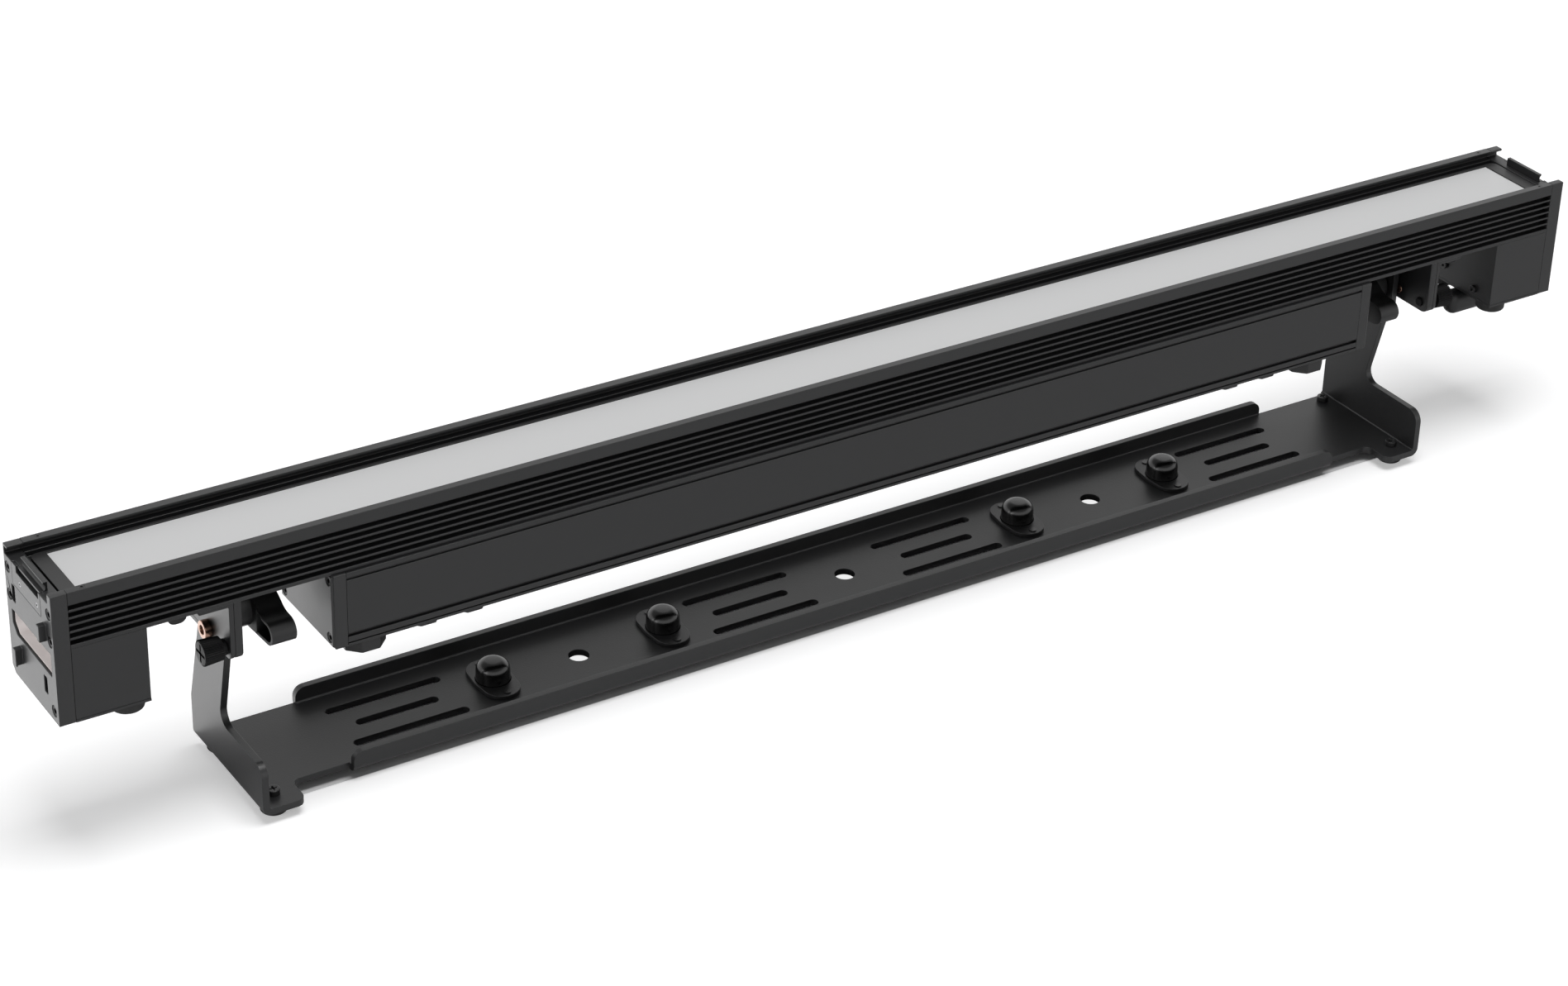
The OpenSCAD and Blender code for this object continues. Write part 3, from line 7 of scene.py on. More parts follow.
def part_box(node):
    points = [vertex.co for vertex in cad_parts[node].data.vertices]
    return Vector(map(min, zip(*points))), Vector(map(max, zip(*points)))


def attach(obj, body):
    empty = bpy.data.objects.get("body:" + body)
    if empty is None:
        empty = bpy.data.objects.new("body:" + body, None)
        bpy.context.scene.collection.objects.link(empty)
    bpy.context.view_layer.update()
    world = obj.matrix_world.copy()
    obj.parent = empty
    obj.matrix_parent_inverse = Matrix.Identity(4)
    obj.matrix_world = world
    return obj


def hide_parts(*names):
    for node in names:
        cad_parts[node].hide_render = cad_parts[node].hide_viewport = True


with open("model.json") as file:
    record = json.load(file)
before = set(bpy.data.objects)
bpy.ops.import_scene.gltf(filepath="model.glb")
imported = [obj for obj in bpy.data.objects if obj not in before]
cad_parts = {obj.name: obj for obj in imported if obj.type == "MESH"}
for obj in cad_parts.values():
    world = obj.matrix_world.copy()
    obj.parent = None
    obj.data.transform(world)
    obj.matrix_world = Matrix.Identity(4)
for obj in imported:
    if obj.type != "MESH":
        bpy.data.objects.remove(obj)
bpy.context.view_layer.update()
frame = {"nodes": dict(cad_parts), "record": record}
mm = 0.001
print("frame loaded with", len(frame["nodes"]), "solids")

# camera, fitted to the edges of the bar and its bracket in the photograph
cameraSetup = {
    "place": (-1.039471, -1.527006, 1.128131),
    "right": (0.84304932, -0.53697684, 0.03039277),
    "forward": (0.48498701, 0.73456613, -0.47455264),
    "sensor": 36, "lens": 84.65, "shift": (-0.01803, -0.0636), "clip": (0.05, 60),
}


def placeCamera(setup):
    camera = bpy.data.objects.new("photoCamera", bpy.data.cameras.new("photoCamera"))
    bpy.context.collection.objects.link(camera)
    forward = Vector(setup["forward"]).normalized()
    right = Vector(setup["right"])
    right = (right - forward * right.dot(forward)).normalized()
    turn = Matrix((right, right.cross(forward), -forward)).transposed().to_4x4()
    camera.matrix_world = Matrix.Translation(setup["place"]) @ turn
    camera.data.sensor_width = setup["sensor"]
    camera.data.lens = setup["lens"]
    camera.data.shift_x, camera.data.shift_y = setup["shift"]
    camera.data.clip_start, camera.data.clip_end = setup["clip"]
    bpy.context.scene.camera = camera


placeCamera(cameraSetup)
print("camera placed")

# soft studio light: a box at the left, a broad one above, and a light table on the floor at the left
lightSetup = {
    "leftBox": {"place": (-2.4, -0.15, 0.55), "aim": (0.0, 0.0, 0.1), "size": (1.6, 1.0), "power": 14},
    "topBox": {"place": (0.0, -0.6, 4.0), "aim": (0.0, 0.1, 0.0), "size": (2.6, 2.0), "power": 118},
    "leftTable": {"place": (-0.80, 0.50, 0.004), "aim": (-0.80, 0.50, 1.0), "size": (1.2, 0.9), "power": 4.8},
}


def placeLights(setup):
    for name, spec in setup.items():
        lamp = bpy.data.lights.new(name, "AREA")
        lamp.shape = "RECTANGLE"
        lamp.size, lamp.size_y = spec["size"]
        lamp.energy = spec["power"]
        holder = bpy.data.objects.new(name, lamp)
        bpy.context.collection.objects.link(holder)
        holder.location = spec["place"]
        aim = Vector(spec["aim"]) - Vector(spec["place"])
        holder.rotation_euler = aim.to_track_quat("-Z", "Y").to_euler()
        holder.visible_camera = False


placeLights(lightSetup)
print("lights placed:", len(lightSetup))


class shaderValue:  # one output of a node, so that shader maths reads as arithmetic
    def __init__(self, maker, socket):
        self.maker = maker
        self.socket = socket

    def math(self, operation, other=None, swapped=False):
        first, second = (other, self) if swapped else (self, other)
        inputs = {0: first} if second is None else {0: first, 1: second}
        return self.maker.add("ShaderNodeMath", {"operation": operation}, inputs)

    def __add__(self, other):
        return self.math("ADD", other)

    def __sub__(self, other):
        return self.math("SUBTRACT", other)

    def __rsub__(self, other):
        return self.math("SUBTRACT", other, True)

    def __mul__(self, other):
        return self.math("MULTIPLY", other)

    def __truediv__(self, other):
        return self.math("DIVIDE", other)

    __radd__ = __add__
    __rmul__ = __mul__

    def within(self, reach):  # 1 where the value lies less than the reach from 0, on either side
        return self.math("ABSOLUTE").math("LESS_THAN", reach)


class shaderMaker:  # fills the node tree of a material or of the world, with one method for any node
    def __init__(self, owner):
        owner.use_nodes = True
        self.owner = owner
        self.tree = owner.node_tree
        self.tree.nodes.clear()

    def add(self, kind, settings=None, inputs=None, out=0):
        node = self.tree.nodes.new(kind)
        for key, value in (settings or {}).items():
            setattr(node, key, value)
        for key, value in (inputs or {}).items():
            if isinstance(value, shaderValue):
                self.tree.links.new(value.socket, node.inputs[key])
            else:
                node.inputs[key].default_value = value
        return shaderValue(self, node.outputs[out])

    def objectPlace(self):
        return self.add("ShaderNodeTexCoord", out="Object")

    def noise(self, place, size, detail, roughness, stretch=None):
        if stretch:
            place = self.add("ShaderNodeMapping", {}, {"Vector": place, "Scale": stretch})
        inputs = {"Vector": place, "Scale": 1 / size, "Detail": detail, "Roughness": roughness}
        return self.add("ShaderNodeTexNoise", {}, inputs)

    def mixColour(self, factor, first, second):
        return self.add("ShaderNodeMix", {"data_type": "RGBA"}, {0: factor, 6: first, 7: second}, 2)

    def bump(self, height, depth):
        return self.add("ShaderNodeBump", {}, {"Height": height, "Distance": depth, "Strength": 1.0})

    def output(self, kind, shader):
        node = self.tree.nodes.new(kind)
        self.tree.links.new(shader.socket, node.inputs["Surface"])
        return self.owner


def opaque(colour, factor=1.0):
    return tuple(min(1.0, part * factor) for part in colour) + (1.0,)


# each finish: colour, roughness, size and depth of its fine grain, size of its cloudy patches (all in metres),
# and how far the patches vary its colour and its roughness
finishSetup = {
    "bracketPaint": {"colour": (0.0120, 0.0122, 0.0128), "roughness": 0.40, "grain": 0.0009,
                     "depth": 0.00005, "cloud": 0.09, "varyColour": 0.2, "varyRoughness": 0.10},
    "sheetPaint": {"colour": (0.0110, 0.0112, 0.0118), "roughness": 0.40, "grain": 0.0007,
                   "depth": 0.00004, "cloud": 0.05, "varyColour": 0.2, "varyRoughness": 0.10},
    "castPaint": {"colour": (0.0140, 0.0142, 0.0148), "roughness": 0.40, "grain": 0.0006,
                  "depth": 0.00004, "cloud": 0.04, "varyColour": 0.2, "varyRoughness": 0.08},
    "anodised": {"colour": (0.0100, 0.0102, 0.0108), "roughness": 0.34, "grain": 0.0005,
                 "depth": 0.00002, "cloud": 0.12, "varyColour": 0.20, "varyRoughness": 0.08,
                 "stretch": (0.012, 1.0, 1.0)},
    "mouldedPlastic": {"colour": (0.0060, 0.0060, 0.0064), "roughness": 0.50, "grain": 0.0005,
                       "depth": 0.00005, "cloud": 0.02, "varyColour": 0.25, "varyRoughness": 0.12},
    "lensFramePlastic": {"colour": (0.0100, 0.0100, 0.0104), "roughness": 0.44, "grain": 0.0005,
                         "depth": 0.00003, "cloud": 0.03, "varyColour": 0.2, "varyRoughness": 0.08},
    "socketPlastic": {"colour": (0.0070, 0.0070, 0.0074), "roughness": 0.40, "grain": 0.0004,
                      "depth": 0.00003, "cloud": 0.02, "varyColour": 0.25, "varyRoughness": 0.10},
    "domeGloss": {"colour": (0.0020, 0.0020, 0.0020), "roughness": 0.24, "grain": 0.003,
                  "depth": 0.000005, "cloud": 0.015, "varyColour": 0.2, "varyRoughness": 0.04},
    "displayGloss": {"colour": (0.006, 0.007, 0.008), "roughness": 0.08, "grain": 0.004,
                     "depth": 0.000004, "cloud": 0.02, "varyColour": 0.2, "varyRoughness": 0.03},
    "opalLens": {"colour": (0.560, 0.562, 0.565), "roughness": 0.42, "grain": 0.0006,
                 "depth": 0.00002, "cloud": 0.2, "varyColour": 0.02, "varyRoughness": 0.04},
    "whiteBoard": {"colour": (0.76, 0.77, 0.75), "roughness": 0.4, "grain": 0.0006,
                   "depth": 0.00001, "cloud": 0.03, "varyColour": 0.05, "varyRoughness": 0.05},
    "greenBoard": {"colour": (0.05, 0.2, 0.09), "roughness": 0.35, "grain": 0.0008,
                   "depth": 0.00002, "cloud": 0.02, "varyColour": 0.2, "varyRoughness": 0.08},
    "footRubber": {"colour": (0.0080, 0.0080, 0.0080), "roughness": 0.66, "grain": 0.0007,
                   "depth": 0.00008, "cloud": 0.01, "varyColour": 0.3, "varyRoughness": 0.12},
    "blackSteel": {"colour": (0.0090, 0.0090, 0.0094), "roughness": 0.30, "grain": 0.0006,
                   "depth": 0.00002, "cloud": 0.01, "varyColour": 0.3, "varyRoughness": 0.12},
    "thumbMetal": {"colour": (0.0070, 0.0070, 0.0074), "roughness": 0.46, "grain": 0.0006,
                   "depth": 0.00003, "cloud": 0.01, "varyColour": 0.3, "varyRoughness": 0.1,
                   "specular": 0.14},
    # screw heads: their own black, made darker still as painted shade of the counterbores they sit in
    "screwBlackWithPaintedShade": {"colour": (0.0025, 0.0025, 0.0026), "roughness": 0.30, "grain": 0.0006,
                   "depth": 0.00002, "cloud": 0.01, "varyColour": 0.3, "varyRoughness": 0.1,
                   "specular": 0.06},
    "brightSteel": {"colour": (0.56, 0.57, 0.58), "roughness": 0.30, "grain": 0.0006,
                    "depth": 0.00002, "cloud": 0.01, "varyColour": 0.15, "varyRoughness": 0.12,
                    "metallic": 1.0},
    "bareAluminium": {"colour": (0.62, 0.63, 0.65), "roughness": 0.38, "grain": 0.0006,
                      "depth": 0.00002, "cloud": 0.02, "varyColour": 0.12, "varyRoughness": 0.1,
                      "metallic": 1.0},
    "linerPlate": {"colour": (0.66, 0.60, 0.585), "roughness": 0.42, "grain": 0.0006,
                   "depth": 0.00001, "cloud": 0.012, "varyColour": 0.10, "varyRoughness": 0.1,
                   "metallic": 0.1},
    "dullSteel": {"colour": (0.20, 0.20, 0.205), "roughness": 0.36, "grain": 0.0006,
                  "depth": 0.00002, "cloud": 0.01, "varyColour": 0.15, "varyRoughness": 0.12,
                  "metallic": 1.0},
    "copperPlate": {"colour": (0.36, 0.22, 0.165), "roughness": 0.20, "grain": 0.0006,
                    "depth": 0.00001, "cloud": 0.012, "varyColour": 0.15, "varyRoughness": 0.1,
                    "metallic": 0.9},
}

# what all finishes share: detail and roughness of the two noises, and their shares in the colour
noiseSetup = {"grain": (2.0, 0.6), "cloud": (3.0, 0.55), "grainShare": 0.3, "cloudShare": 0.7}


def makeFinish(name, spec):
    maker = shaderMaker(bpy.data.materials.new(name))
    place = maker.objectPlace()
    grain = maker.noise(place, spec["grain"], *noiseSetup["grain"], spec.get("stretch"))
    cloud = maker.noise(place, spec["cloud"], *noiseSetup["cloud"])
    factor = cloud * noiseSetup["cloudShare"] + grain * noiseSetup["grainShare"]
    darker, lighter = (opaque(spec["colour"], 1 + sign * spec["varyColour"]) for sign in (-1, 1))
    shader = maker.add("ShaderNodeBsdfPrincipled", {}, {
        "Base Color": maker.mixColour(factor, darker, lighter),
        "Roughness": (cloud - 0.5) * spec["varyRoughness"] + spec["roughness"],
        "Metallic": spec.get("metallic", 0.0),
        "Normal": maker.bump(grain, spec["depth"]),
        "Specular IOR Level": spec.get("specular", 0.5),
    })
    return maker.output("ShaderNodeOutputMaterial", shader)


finishes = {name: makeFinish(name, spec) for name, spec in finishSetup.items()}
print("finishes made:", len(finishes))

finishOfNode = {
    "anodised": ["led_profile", "power_box"],
    "lensFramePlastic": ["lens_frame"],
    "opalLens": ["lens"],
    "whiteBoard": ["light_board"],
    "greenBoard": ["supply_board", "driver_board", "button_board"],
    "castPaint": ["left_end_plate", "right_end_plate", "left_power_cap", "right_power_cap"],
    "sheetPaint": ["clip_blades", "clip_covers", "left_end_box", "right_end_box", "left_end_cover",
                   "right_end_cover", "hanger_plates", "carrier_plates", "receptacle_flanges"],
    "bracketPaint": ["bracket"],
    "mouldedPlastic": ["left_lever", "right_lever", "latch_handle", "menu_button", "down_button",
                       "up_button", "enter_button", "stop_blocks", "friction_washers"],
    "socketPlastic": ["power_inlet", "power_outlet", "data_inlet", "data_outlet", "network_inlet",
                      "network_outlet"],
    "domeGloss": ["receptacle_domes"],
    "displayGloss": ["display_window"],
    "footRubber": ["bracket_feet", "end_box_feet", "lens_gasket"],
    "blackSteel": ["end_box_screws", "rail_screws", "hanger_bolts", "foot_screws", "receptacle_rivets"],
    "screwBlackWithPaintedShade": ["end_plate_screws", "power_cap_screws"],
    "thumbMetal": ["left_thumbscrew", "right_thumbscrew"],
    "dullSteel": ["clip_screws"],
    "brightSteel": ["coupling_bolt", "pivot_studs", "left_insert", "right_insert"],
    "bareAluminium": ["bolt_guide"],
    "linerPlate": ["pocket_liner"],
    "copperPlate": ["hook_pins"],
}

bodyOfNode = {}
for bodyName, nodeNames in frame["record"]["behaviour"]["bodies"].items():
    for nodeName in nodeNames:
        bodyOfNode[nodeName] = bodyName
for finishName, nodeNames in finishOfNode.items():
    for nodeName in nodeNames:
        materials = frame["nodes"][nodeName].data.materials
        materials.clear()
        materials.append(finishes[finishName])
print("solids with a finish:", sum(len(nodeNames) for nodeNames in finishOfNode.values()))


def selectOnly(piece):
    bpy.ops.object.select_all(action="DESELECT")
    piece.select_set(True)
    bpy.context.view_layer.objects.active = piece


def applyModifier(piece, kind, **settings):
    selectOnly(piece)
    modifier = piece.modifiers.new(kind.lower(), kind)
    for key, value in settings.items():
        setattr(modifier, key, value)
    bpy.ops.object.modifier_apply(modifier=modifier.name)


# copies of solids whose sharp edges are rounded, with the width of the round in mm
softEdges = {
    "bracket": 0.2, "led_profile": 0.25, "left_end_plate": 0.45, "right_end_plate": 0.45,
    "left_end_box": 0.4, "right_end_box": 0.4, "power_box": 0.3, "left_power_cap": 0.45,
    "right_power_cap": 0.45, "hanger_plates": 0.7, "carrier_plates": 0.7,
    "stop_blocks": 0.4, "lens_frame": 0.25, "lens": 0.3,
    "power_inlet": 0.6, "power_outlet": 0.6, "data_inlet": 0.6, "data_outlet": 0.6,
    "network_inlet": 0.6, "network_outlet": 0.6, "clip_blades": 0.2, "clip_covers": 0.2,
    "hook_pins": 0.5, "receptacle_flanges": 0.3, "end_plate_screws": 0.25,
    "power_cap_screws": 0.25, "hanger_bolts": 0.4, "end_box_screws": 0.3, "foot_screws": 0.35,
    "end_box_feet": 0.5, "bracket_feet": 0.4,
}

# how they are rounded, with lengths in mm and angles in degrees
softSetup = {"merge": 0.005, "flat": 0.5, "edge": 38, "segments": 2, "sliver": 0.003, "smooth": 40,
             "weight": 80}


def softenEdges(nodeName, width, setup):
    selectOnly(frame["nodes"][nodeName])
    bpy.ops.object.duplicate()
    piece = bpy.context.active_object
    piece.name = nodeName + "Soft"
    bpy.ops.object.mode_set(mode="EDIT")
    bpy.ops.mesh.select_all(action="SELECT")
    bpy.ops.mesh.remove_doubles(threshold=setup["merge"] * mm)
    bpy.ops.mesh.dissolve_limited(angle_limit=math.radians(setup["flat"]))
    bpy.ops.object.mode_set(mode="OBJECT")
    applyModifier(piece, "BEVEL", width=width * mm, segments=setup["segments"], limit_method="ANGLE",
                  angle_limit=math.radians(setup["edge"]), use_clamp_overlap=False, miter_outer="MITER_ARC")
    bpy.ops.object.mode_set(mode="EDIT")
    bpy.ops.mesh.select_all(action="SELECT")
    bpy.ops.mesh.dissolve_degenerate(threshold=setup["sliver"] * mm)
    bpy.ops.object.mode_set(mode="OBJECT")
    bpy.ops.object.shade_smooth_by_angle(angle=math.radians(setup["smooth"]))
    applyModifier(piece, "WEIGHTED_NORMAL", mode="FACE_AREA", weight=setup["weight"], keep_sharp=True)
    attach(piece, bodyOfNode[nodeName])
    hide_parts(nodeName)


for nodeName, width in softEdges.items():
    softenEdges(nodeName, width, softSetup)
print("edges rounded on", len(softEdges), "solids")

# what all pieces modelled below share: merge distance in mm, angle in degrees of an edge that is rounded,
# and the share of a face's normal along an axis from which the face counts as looking that way
pieceSetup = {"merge": 0.002, "edge": 50, "facing": 0.9}


def newPiece(name, nodeName, finish, smooth=40):  # the active object becomes a finished piece of one solid
    piece = bpy.context.active_object
    piece.name = name
    piece.data.name = name
    selectOnly(piece)
    bpy.ops.object.transform_apply(location=True, rotation=True, scale=True)
    bpy.ops.object.mode_set(mode="EDIT")
    bpy.ops.mesh.select_all(action="SELECT")
    bpy.ops.mesh.remove_doubles(threshold=pieceSetup["merge"] * mm)
    bpy.ops.mesh.normals_make_consistent(inside=False)
    bpy.ops.object.mode_set(mode="OBJECT")
    bpy.ops.object.shade_smooth_by_angle(angle=math.radians(smooth))
    piece.data.materials.clear()
    piece.data.materials.append(finishes[finish])
    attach(piece, bodyOfNode[nodeName])
    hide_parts(nodeName)


def roundEdges(piece, setup):
    applyModifier(piece, "BEVEL", width=setup["round"] * mm, segments=setup["segments"],
                  limit_method="ANGLE", angle_limit=math.radians(pieceSetup["edge"]))


def selectFaces(piece, test):  # in edit mode, the faces whose middle and normal pass the test
    bpy.ops.mesh.select_all(action="DESELECT")
    bpy.ops.mesh.select_mode(type="FACE")
    bpy.ops.object.mode_set(mode="OBJECT")
    for face in piece.data.polygons:
        face.select = test(face.center, face.normal)
    bpy.ops.object.mode_set(mode="EDIT")


def selectCorners(piece, test):  # in edit mode, the corners whose place passes the test
    bpy.ops.mesh.select_all(action="DESELECT")
    bpy.ops.mesh.select_mode(type="VERT")
    bpy.ops.object.mode_set(mode="OBJECT")
    for corner in piece.data.vertices:
        corner.select = test(corner.co)
    bpy.ops.object.mode_set(mode="EDIT")


def addBar(radius, low, high, sides):  # a cylinder along x, its place in its mesh
    bpy.ops.object.select_all(action="DESELECT")
    bpy.ops.mesh.primitive_cylinder_add(vertices=sides, radius=radius * mm, depth=abs(high.x - low.x),
                                        rotation=(0, math.pi / 2, 0), location=(low + high) / 2)
    bpy.ops.object.transform_apply(location=True, rotation=True, scale=True)
    return bpy.context.active_object


def joinPieces(main, others):
    bpy.ops.object.select_all(action="DESELECT")
    for piece in others + [main]:
        piece.select_set(True)
    bpy.context.view_layer.objects.active = main
    bpy.ops.object.join()


# clamp lever: a hub, and a wing that sweeps from it to a hollow round end; in mm from the lever's axis
leverSetup = {
    "axis": (6.375, 106.0), "wing": (366.0, 380.0), "hub": (366.8, 391.7), "hubRadius": 12.0, "hubSides": 96,
    "reach": (0.0, -5.0, -10.0, -14.0, -17.5, -20.5, -23.5, -27.0, -30.5, -33.2, -35.2, -36.2, -36.5),
    "top": (11.0, 10.9, 10.4, 9.2, 7.2, 5.3, 4.2, 3.8, 3.7, 2.8, 1.0, -1.0, -2.4),
    "low": (-11.0, -11.0, -10.7, -10.4, -10.2, -10.0, -9.8, -9.5, -9.3, -8.4, -6.7, -4.6, -3.2),
    "hollowFrom": -15.0, "wall": 1.9, "hollowFloor": 2.0, "smooth": 3, "round": 0.8, "segments": 3,
}


def finer(values, steps):  # more values between the given ones, on a smooth line
    line = []
    for i in range(len(values) - 1):
        before, start, end, after = (values[min(max(i + k, 0), len(values) - 1)] for k in (-1, 0, 1, 2))
        for t in (step / steps for step in range(steps)):
            line.append(start * (2 * t ** 3 - 3 * t ** 2 + 1) + end * (3 * t ** 2 - 2 * t ** 3)
                        + (end - before) / 2 * (t ** 3 - 2 * t ** 2 + t)
                        + (after - start) / 2 * (t ** 3 - t ** 2))
    return line + [values[-1]]


def makeLever(name, nodeName, setup):
    side = -1 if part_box(nodeName)[0].x < 0 else 1
    axisY, axisZ = (part * mm for part in setup["axis"])
    wingIn, wingOut = (side * part * mm for part in setup["wing"])
    thickness = abs(wingOut - wingIn)
    reach, top, low = (finer(setup[key], setup["smooth"]) for key in ("reach", "top", "low"))
    middles = [((wingIn + wingOut) / 2, axisY + reach[i] * mm, axisZ + (top[i] + low[i]) / 2 * mm)
               for i in range(len(reach))]
    bpy.ops.object.select_all(action="DESELECT")
    bpy.ops.mesh.primitive_plane_add(size=1.0, rotation=(math.pi / 2, 0, 0), location=middles[0])
    wing = bpy.context.active_object
    bpy.ops.object.transform_apply(location=True, rotation=True, scale=True)
    bpy.ops.object.mode_set(mode="EDIT")
    bpy.ops.mesh.select_all(action="SELECT")
    bpy.ops.transform.resize(value=(thickness, 1, (top[0] - low[0]) * mm), center_override=middles[0])
    for i in range(1, len(reach)):
        step = tuple(after - before for before, after in zip(middles[i - 1], middles[i]))
        bpy.ops.mesh.extrude_region_move(TRANSFORM_OT_translate={"value": step})
        share = (top[i] - low[i]) / (top[i - 1] - low[i - 1])
        bpy.ops.transform.resize(value=(1, 1, share), center_override=middles[i])
    bpy.ops.mesh.select_all(action="SELECT")
    bpy.ops.mesh.normals_make_consistent(inside=False)
    hollowY = axisY + setup["hollowFrom"] * mm
    selectFaces(wing, lambda spot, normal: normal.x * side > pieceSetup["facing"] and spot.y < hollowY)
    bpy.ops.mesh.inset(thickness=setup["wall"] * mm, use_boundary=True, use_even_offset=True)
    depth = thickness - setup["hollowFloor"] * mm
    bpy.ops.mesh.extrude_region_move(TRANSFORM_OT_translate={"value": (-side * depth, 0, 0)})
    bpy.ops.object.mode_set(mode="OBJECT")
    roundEdges(wing, setup)
    hubIn, hubOut = (Vector((side * part * mm, axisY, axisZ)) for part in setup["hub"])
    hub = addBar(setup["hubRadius"], hubIn, hubOut, setup["hubSides"])
    roundEdges(hub, setup)
    joinPieces(wing, [hub])
    newPiece(name, nodeName, "mouldedPlastic")


makeLever("leftClampLever", "left_lever", leverSetup)
makeLever("rightClampLever", "right_lever", leverSetup)
print("clamp levers made")

# latch handle: a smooth bar on a round stem, in mm
handleSetup = {"low": (443.0, -11.1, 76.0), "high": (478.0, 0.85, 91.6), "round": 5.4, "segments": 8,
               "stem": (462.0, -5.125), "stemRadius": 3.0, "stemSpan": (87.0, 121.2), "stemSides": 48}


def makeHandle(setup):
    low, high = Vector(setup["low"]) * mm, Vector(setup["high"]) * mm
    bpy.ops.object.select_all(action="DESELECT")
    bpy.ops.mesh.primitive_cube_add(size=1.0, location=(low + high) / 2)
    bar = bpy.context.active_object
    bpy.ops.object.mode_set(mode="EDIT")
    bpy.ops.transform.resize(value=tuple(high - low))
    bpy.ops.object.mode_set(mode="OBJECT")
    roundEdges(bar, setup)
    stemX, stemY = setup["stem"]
    stemLow, stemHigh = setup["stemSpan"]
    bpy.ops.object.select_all(action="DESELECT")
    bpy.ops.mesh.primitive_cylinder_add(vertices=setup["stemSides"], radius=setup["stemRadius"] * mm,
                                        depth=(stemHigh - stemLow) * mm,
                                        location=(stemX * mm, stemY * mm, (stemLow + stemHigh) / 2 * mm))
    joinPieces(bar, [bpy.context.active_object])
    newPiece("latchBar", "latch_handle", "mouldedPlastic")


makeHandle(handleSetup)
print("latch handle made")

# plated liner of the coupling pocket, its rim set back behind the window's edge, in mm
linerSetup = {"back": -470.0, "front": -499.6, "setBack": 1.0, "shrink": 0.3}


def makeLiner(setup):
    low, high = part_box("pocket_liner")
    selectOnly(frame["nodes"]["pocket_liner"])
    bpy.ops.object.duplicate()
    length = setup["back"] - setup["front"]
    across, tall = (high.y - low.y) / mm, (high.z - low.z) / mm
    share = ((length - setup["setBack"]) / length, (across - 2 * setup["shrink"]) / across,
             (tall - 2 * setup["shrink"]) / tall)
    anchor = (setup["back"] * mm, (low.y + high.y) / 2, (low.z + high.z) / 2)
    bpy.ops.object.mode_set(mode="EDIT")
    bpy.ops.mesh.select_all(action="SELECT")
    bpy.ops.transform.resize(value=share, center_override=anchor)
    bpy.ops.object.mode_set(mode="OBJECT")
    newPiece("couplingLiner", "pocket_liner", "linerPlate")


makeLiner(linerSetup)
print("pocket liner made")

# glossy dome of a quarter-turn socket: a cylinder with a full round at its top, drawn in a little; in mm
domeSetup = {"radius": 9.95, "low": 10.0, "high": 24.0, "round": 5.4, "segments": 10, "sides": 72,
             "draw": 0.95, "smooth": 60,
             "places": ((-232.8, 6.375), (-123.6, 6.375), (123.6, 6.375), (232.8, 6.375))}


def makeDomes(setup):
    low, high = setup["low"] * mm, setup["high"] * mm
    firstX, firstY = (part * mm for part in setup["places"][0])
    bpy.ops.object.select_all(action="DESELECT")
    bpy.ops.mesh.primitive_cylinder_add(vertices=setup["sides"], radius=setup["radius"] * mm,
                                        depth=high - low, location=(firstX, firstY, (low + high) / 2))
    dome = bpy.context.active_object
    bpy.ops.object.transform_apply(location=True, rotation=True, scale=True)
    bpy.ops.object.mode_set(mode="EDIT")
    selectFaces(dome, lambda spot, normal: normal.z > pieceSetup["facing"])
    bpy.ops.transform.resize(value=(setup["draw"], setup["draw"], 1), center_override=(firstX, firstY, high))
    bpy.ops.mesh.bevel(offset=setup["round"] * mm, segments=setup["segments"], affect="EDGES")
    bpy.ops.object.mode_set(mode="OBJECT")
    copies = []
    for x, y in setup["places"][1:]:
        selectOnly(dome)
        bpy.ops.object.duplicate()
        bpy.ops.transform.translate(value=(x * mm - firstX, y * mm - firstY, 0))
        copies.append(bpy.context.active_object)
    joinPieces(dome, copies)
    newPiece("socketDomes", "receptacle_domes", "domeGloss", setup["smooth"])


makeDomes(domeSetup)
print("socket domes made")

# thumbscrew: a knurled head with a cross slot, drawn in towards its collar; in mm from its axis
thumbSetup = {
    "axis": (-28.125, 106.0), "head": (408.4, 419.4), "headRadius": 7.25, "ridges": 40, "valley": 0.93,
    "waist": 0.9, "rim": 0.93, "rimFrom": 6.6, "rimSink": 0.45, "near": 0.01, "slot": (10.6, 1.7, 0.9),
    "collar": (405.8, 408.6), "collarRadius": 4.5, "collarSides": 48,
    "shank": (396.8, 406.0), "shankRadius": 2.5, "shankSides": 32,
    "round": 0.3, "segments": 2, "smooth": 20,
}


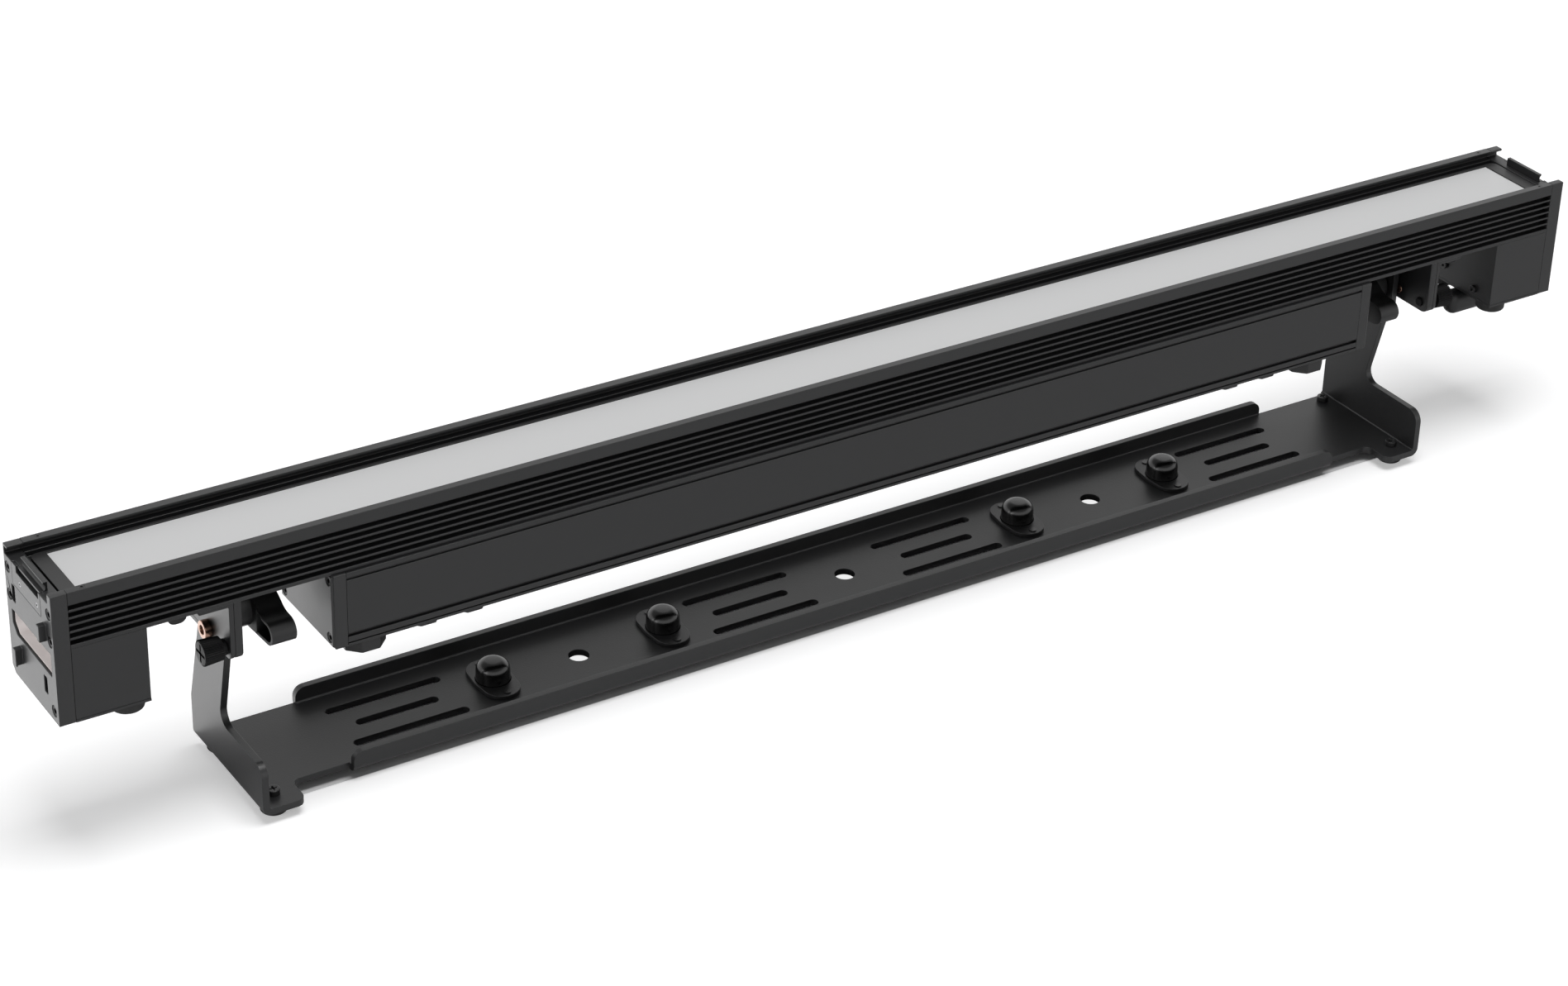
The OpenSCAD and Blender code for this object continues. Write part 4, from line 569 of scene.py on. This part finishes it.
def makeThumbscrew(name, nodeName, setup):
    side = -1 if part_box(nodeName)[0].x < 0 else 1
    axisY, axisZ = (part * mm for part in setup["axis"])
    spans = {key: [Vector((side * x * mm, axisY, axisZ)) for x in setup[key]]
             for key in ("head", "collar", "shank")}
    headIn, headOut = spans["head"]
    sides = setup["ridges"] * 2

    def inValley(spot):  # every second corner round the head
        return round(math.atan2(spot.z - axisZ, spot.y - axisY) / (2 * math.pi) * sides) % 2 == 1

    def onRim(spot):
        outward = math.hypot(spot.y - axisY, spot.z - axisZ)
        return abs(spot.x - headOut.x) < setup["near"] * mm and outward > setup["rimFrom"] * mm

    head = addBar(setup["headRadius"], headIn, headOut, sides)
    bpy.ops.object.mode_set(mode="EDIT")
    selectCorners(head, inValley)
    bpy.ops.transform.resize(value=(1, setup["valley"], setup["valley"]), center_override=headIn)
    selectFaces(head, lambda spot, normal: normal.x * side < -pieceSetup["facing"])
    bpy.ops.transform.resize(value=(1, setup["waist"], setup["waist"]), center_override=headIn)
    selectFaces(head, lambda spot, normal: normal.x * side > pieceSetup["facing"])
    bpy.ops.mesh.extrude_region_move(TRANSFORM_OT_translate={"value": (0, 0, 0)})
    bpy.ops.transform.resize(value=(1, setup["rim"], setup["rim"]), center_override=headOut)
    selectCorners(head, onRim)
    bpy.ops.transform.translate(value=(-side * setup["rimSink"] * mm, 0, 0))
    bpy.ops.object.mode_set(mode="OBJECT")
    length, width, depth = (part * mm for part in setup["slot"])
    for tall in (True, False):
        bpy.ops.object.select_all(action="DESELECT")
        bpy.ops.mesh.primitive_cube_add(size=1.0, location=headOut)
        tool = bpy.context.active_object
        tool.scale = (2 * depth, width if tall else length, length if tall else width)
        bpy.ops.object.transform_apply(location=True, rotation=True, scale=True)
        applyModifier(head, "BOOLEAN", operation="DIFFERENCE", object=tool, solver="EXACT")
        bpy.data.objects.remove(tool)
    rods = []
    for key in ("collar", "shank"):
        rods.append(addBar(setup[key + "Radius"], *spans[key], setup[key + "Sides"]))
        roundEdges(rods[-1], setup)
    joinPieces(head, rods)
    newPiece(name, nodeName, "thumbMetal", setup["smooth"])


makeThumbscrew("leftThumbKnob", "left_thumbscrew", thumbSetup)
makeThumbscrew("rightThumbKnob", "right_thumbscrew", thumbSetup)
print("thumbscrews made")

# floor, in metres; the camera sees it lifted to an even white, with painted shade where the base plate covers
# it and painted light where its round holes are
# cover and coverMiddle: where the painted shade under the base plate lies; holePitch to holeBand: where the
# painted light under its round holes lies
floorSetup = {
    "size": 16.0, "colour": (0.80, 0.80, 0.805), "lift": (0.37, 0.62), "fade": (0.5, 1.9),
    "cover": (0.385, 0.034), "coverMiddle": 0.006375, "holePitch": 0.1783, "holeShift": 0.008,
    "holeReach": 0.010, "holeSpan": 0.21, "holeBand": (0.016, 0.008), "holePaintedLight": 0.85,
}


def makeFloor(setup):
    bpy.ops.object.select_all(action="DESELECT")
    bpy.ops.mesh.primitive_plane_add(size=setup["size"], location=(0, 0, 0))
    floor = bpy.context.active_object
    floor.name = "studioFloor"
    maker = shaderMaker(bpy.data.materials.new("studioFloor"))
    place = maker.objectPlace()
    along = maker.add("ShaderNodeSeparateXYZ", {}, {"Vector": place}, 0)
    across = maker.add("ShaderNodeSeparateXYZ", {}, {"Vector": place}, 1)
    far = (along * along + across * across).math("SQRT")
    nearFade, farFade = setup["fade"]
    fade = maker.add("ShaderNodeMapRange", {"interpolation_type": "SMOOTHSTEP"},
                     {0: far, 1: nearFade, 2: farFade})
    halfLength, halfWidth = setup["cover"]
    # painted shade: the floor's lift is left out where the base plate covers it, so the floor under the plate
    # reads dark
    paintedShadeUnderBase = along.within(halfLength) * (across - setup["coverMiddle"]).within(halfWidth)
    # painted light: a brighter lift on the shaded floor under the base plate's round holes, with
    # holePaintedLight as its brightness
    beside = along - setup["holeShift"]
    nearest = (beside / setup["holePitch"]).math("ROUND") * setup["holePitch"]
    bandMiddle, bandHalf = setup["holeBand"]
    paintedLightInHoles = (beside - nearest).within(setup["holeReach"]) * along.within(setup["holeSpan"]) \
        * (across - bandMiddle).within(bandHalf)
    # the even lift, then the painted light under the round holes, then the painted shade under the rest of the
    # base plate
    nearLift, farLift = setup["lift"]
    liftWithPaintedLightAndShade = maker.mixColour(fade, opaque((nearLift,) * 3), opaque((farLift,) * 3))
    liftWithPaintedLightAndShade = maker.mixColour(paintedShadeUnderBase * paintedLightInHoles, liftWithPaintedLightAndShade, opaque((setup["holePaintedLight"],) * 3))
    liftWithPaintedLightAndShade = maker.mixColour(paintedShadeUnderBase * (1.0 - paintedLightInHoles), liftWithPaintedLightAndShade, (0, 0, 0, 1))
    matte = maker.add("ShaderNodeBsdfDiffuse", {}, {"Color": opaque(setup["colour"])})
    glow = maker.add("ShaderNodeEmission", {}, {"Color": liftWithPaintedLightAndShade, "Strength": 1.0})
    seen = maker.add("ShaderNodeLightPath", out="Is Camera Ray")
    dark = maker.add("ShaderNodeEmission", {}, {"Color": (0, 0, 0, 1), "Strength": 0.0})
    lifted = maker.add("ShaderNodeMixShader", {}, {0: seen, 1: dark, 2: glow})
    both = maker.add("ShaderNodeAddShader", {}, {0: matte, 1: lifted})
    floor.data.materials.append(maker.output("ShaderNodeOutputMaterial", both))


makeFloor(floorSetup)

# white surroundings; the backdrop shines in the finishes low behind the bar and fades higher up
worldSetup = {"ambient": 0.26, "backdrop": 1.4, "low": 0.45, "high": 0.62, "highShare": 0.1}


def makeWorld(setup):
    world = bpy.data.worlds.new("studio")
    bpy.context.scene.world = world
    maker = shaderMaker(world)
    soft = maker.add("ShaderNodeBackground", {}, {"Color": (1, 1, 1, 1), "Strength": setup["ambient"]})
    white = maker.add("ShaderNodeBackground", {}, {"Color": (1, 1, 1, 1), "Strength": setup["backdrop"]})
    direction = maker.add("ShaderNodeTexCoord", out="Generated")
    height = maker.add("ShaderNodeSeparateXYZ", {}, {"Vector": direction}, 2)
    fade = maker.add("ShaderNodeMapRange", {"interpolation_type": "SMOOTHSTEP"},
                     {0: height, 1: setup["low"], 2: setup["high"], 3: 1.0, 4: setup["highShare"]})
    glossy = maker.add("ShaderNodeLightPath", out="Is Glossy Ray") * fade
    seen = maker.add("ShaderNodeLightPath", out="Is Camera Ray").math("MAXIMUM", glossy)
    seen = seen.math("MAXIMUM", maker.add("ShaderNodeLightPath", out="Is Transmission Ray"))
    mixed = maker.add("ShaderNodeMixShader", {}, {0: seen, 1: soft, 2: white})
    maker.output("ShaderNodeOutputWorld", mixed)
    bpy.context.scene.view_settings.view_transform = "Standard"


makeWorld(worldSetup)
print("floor and surroundings made")
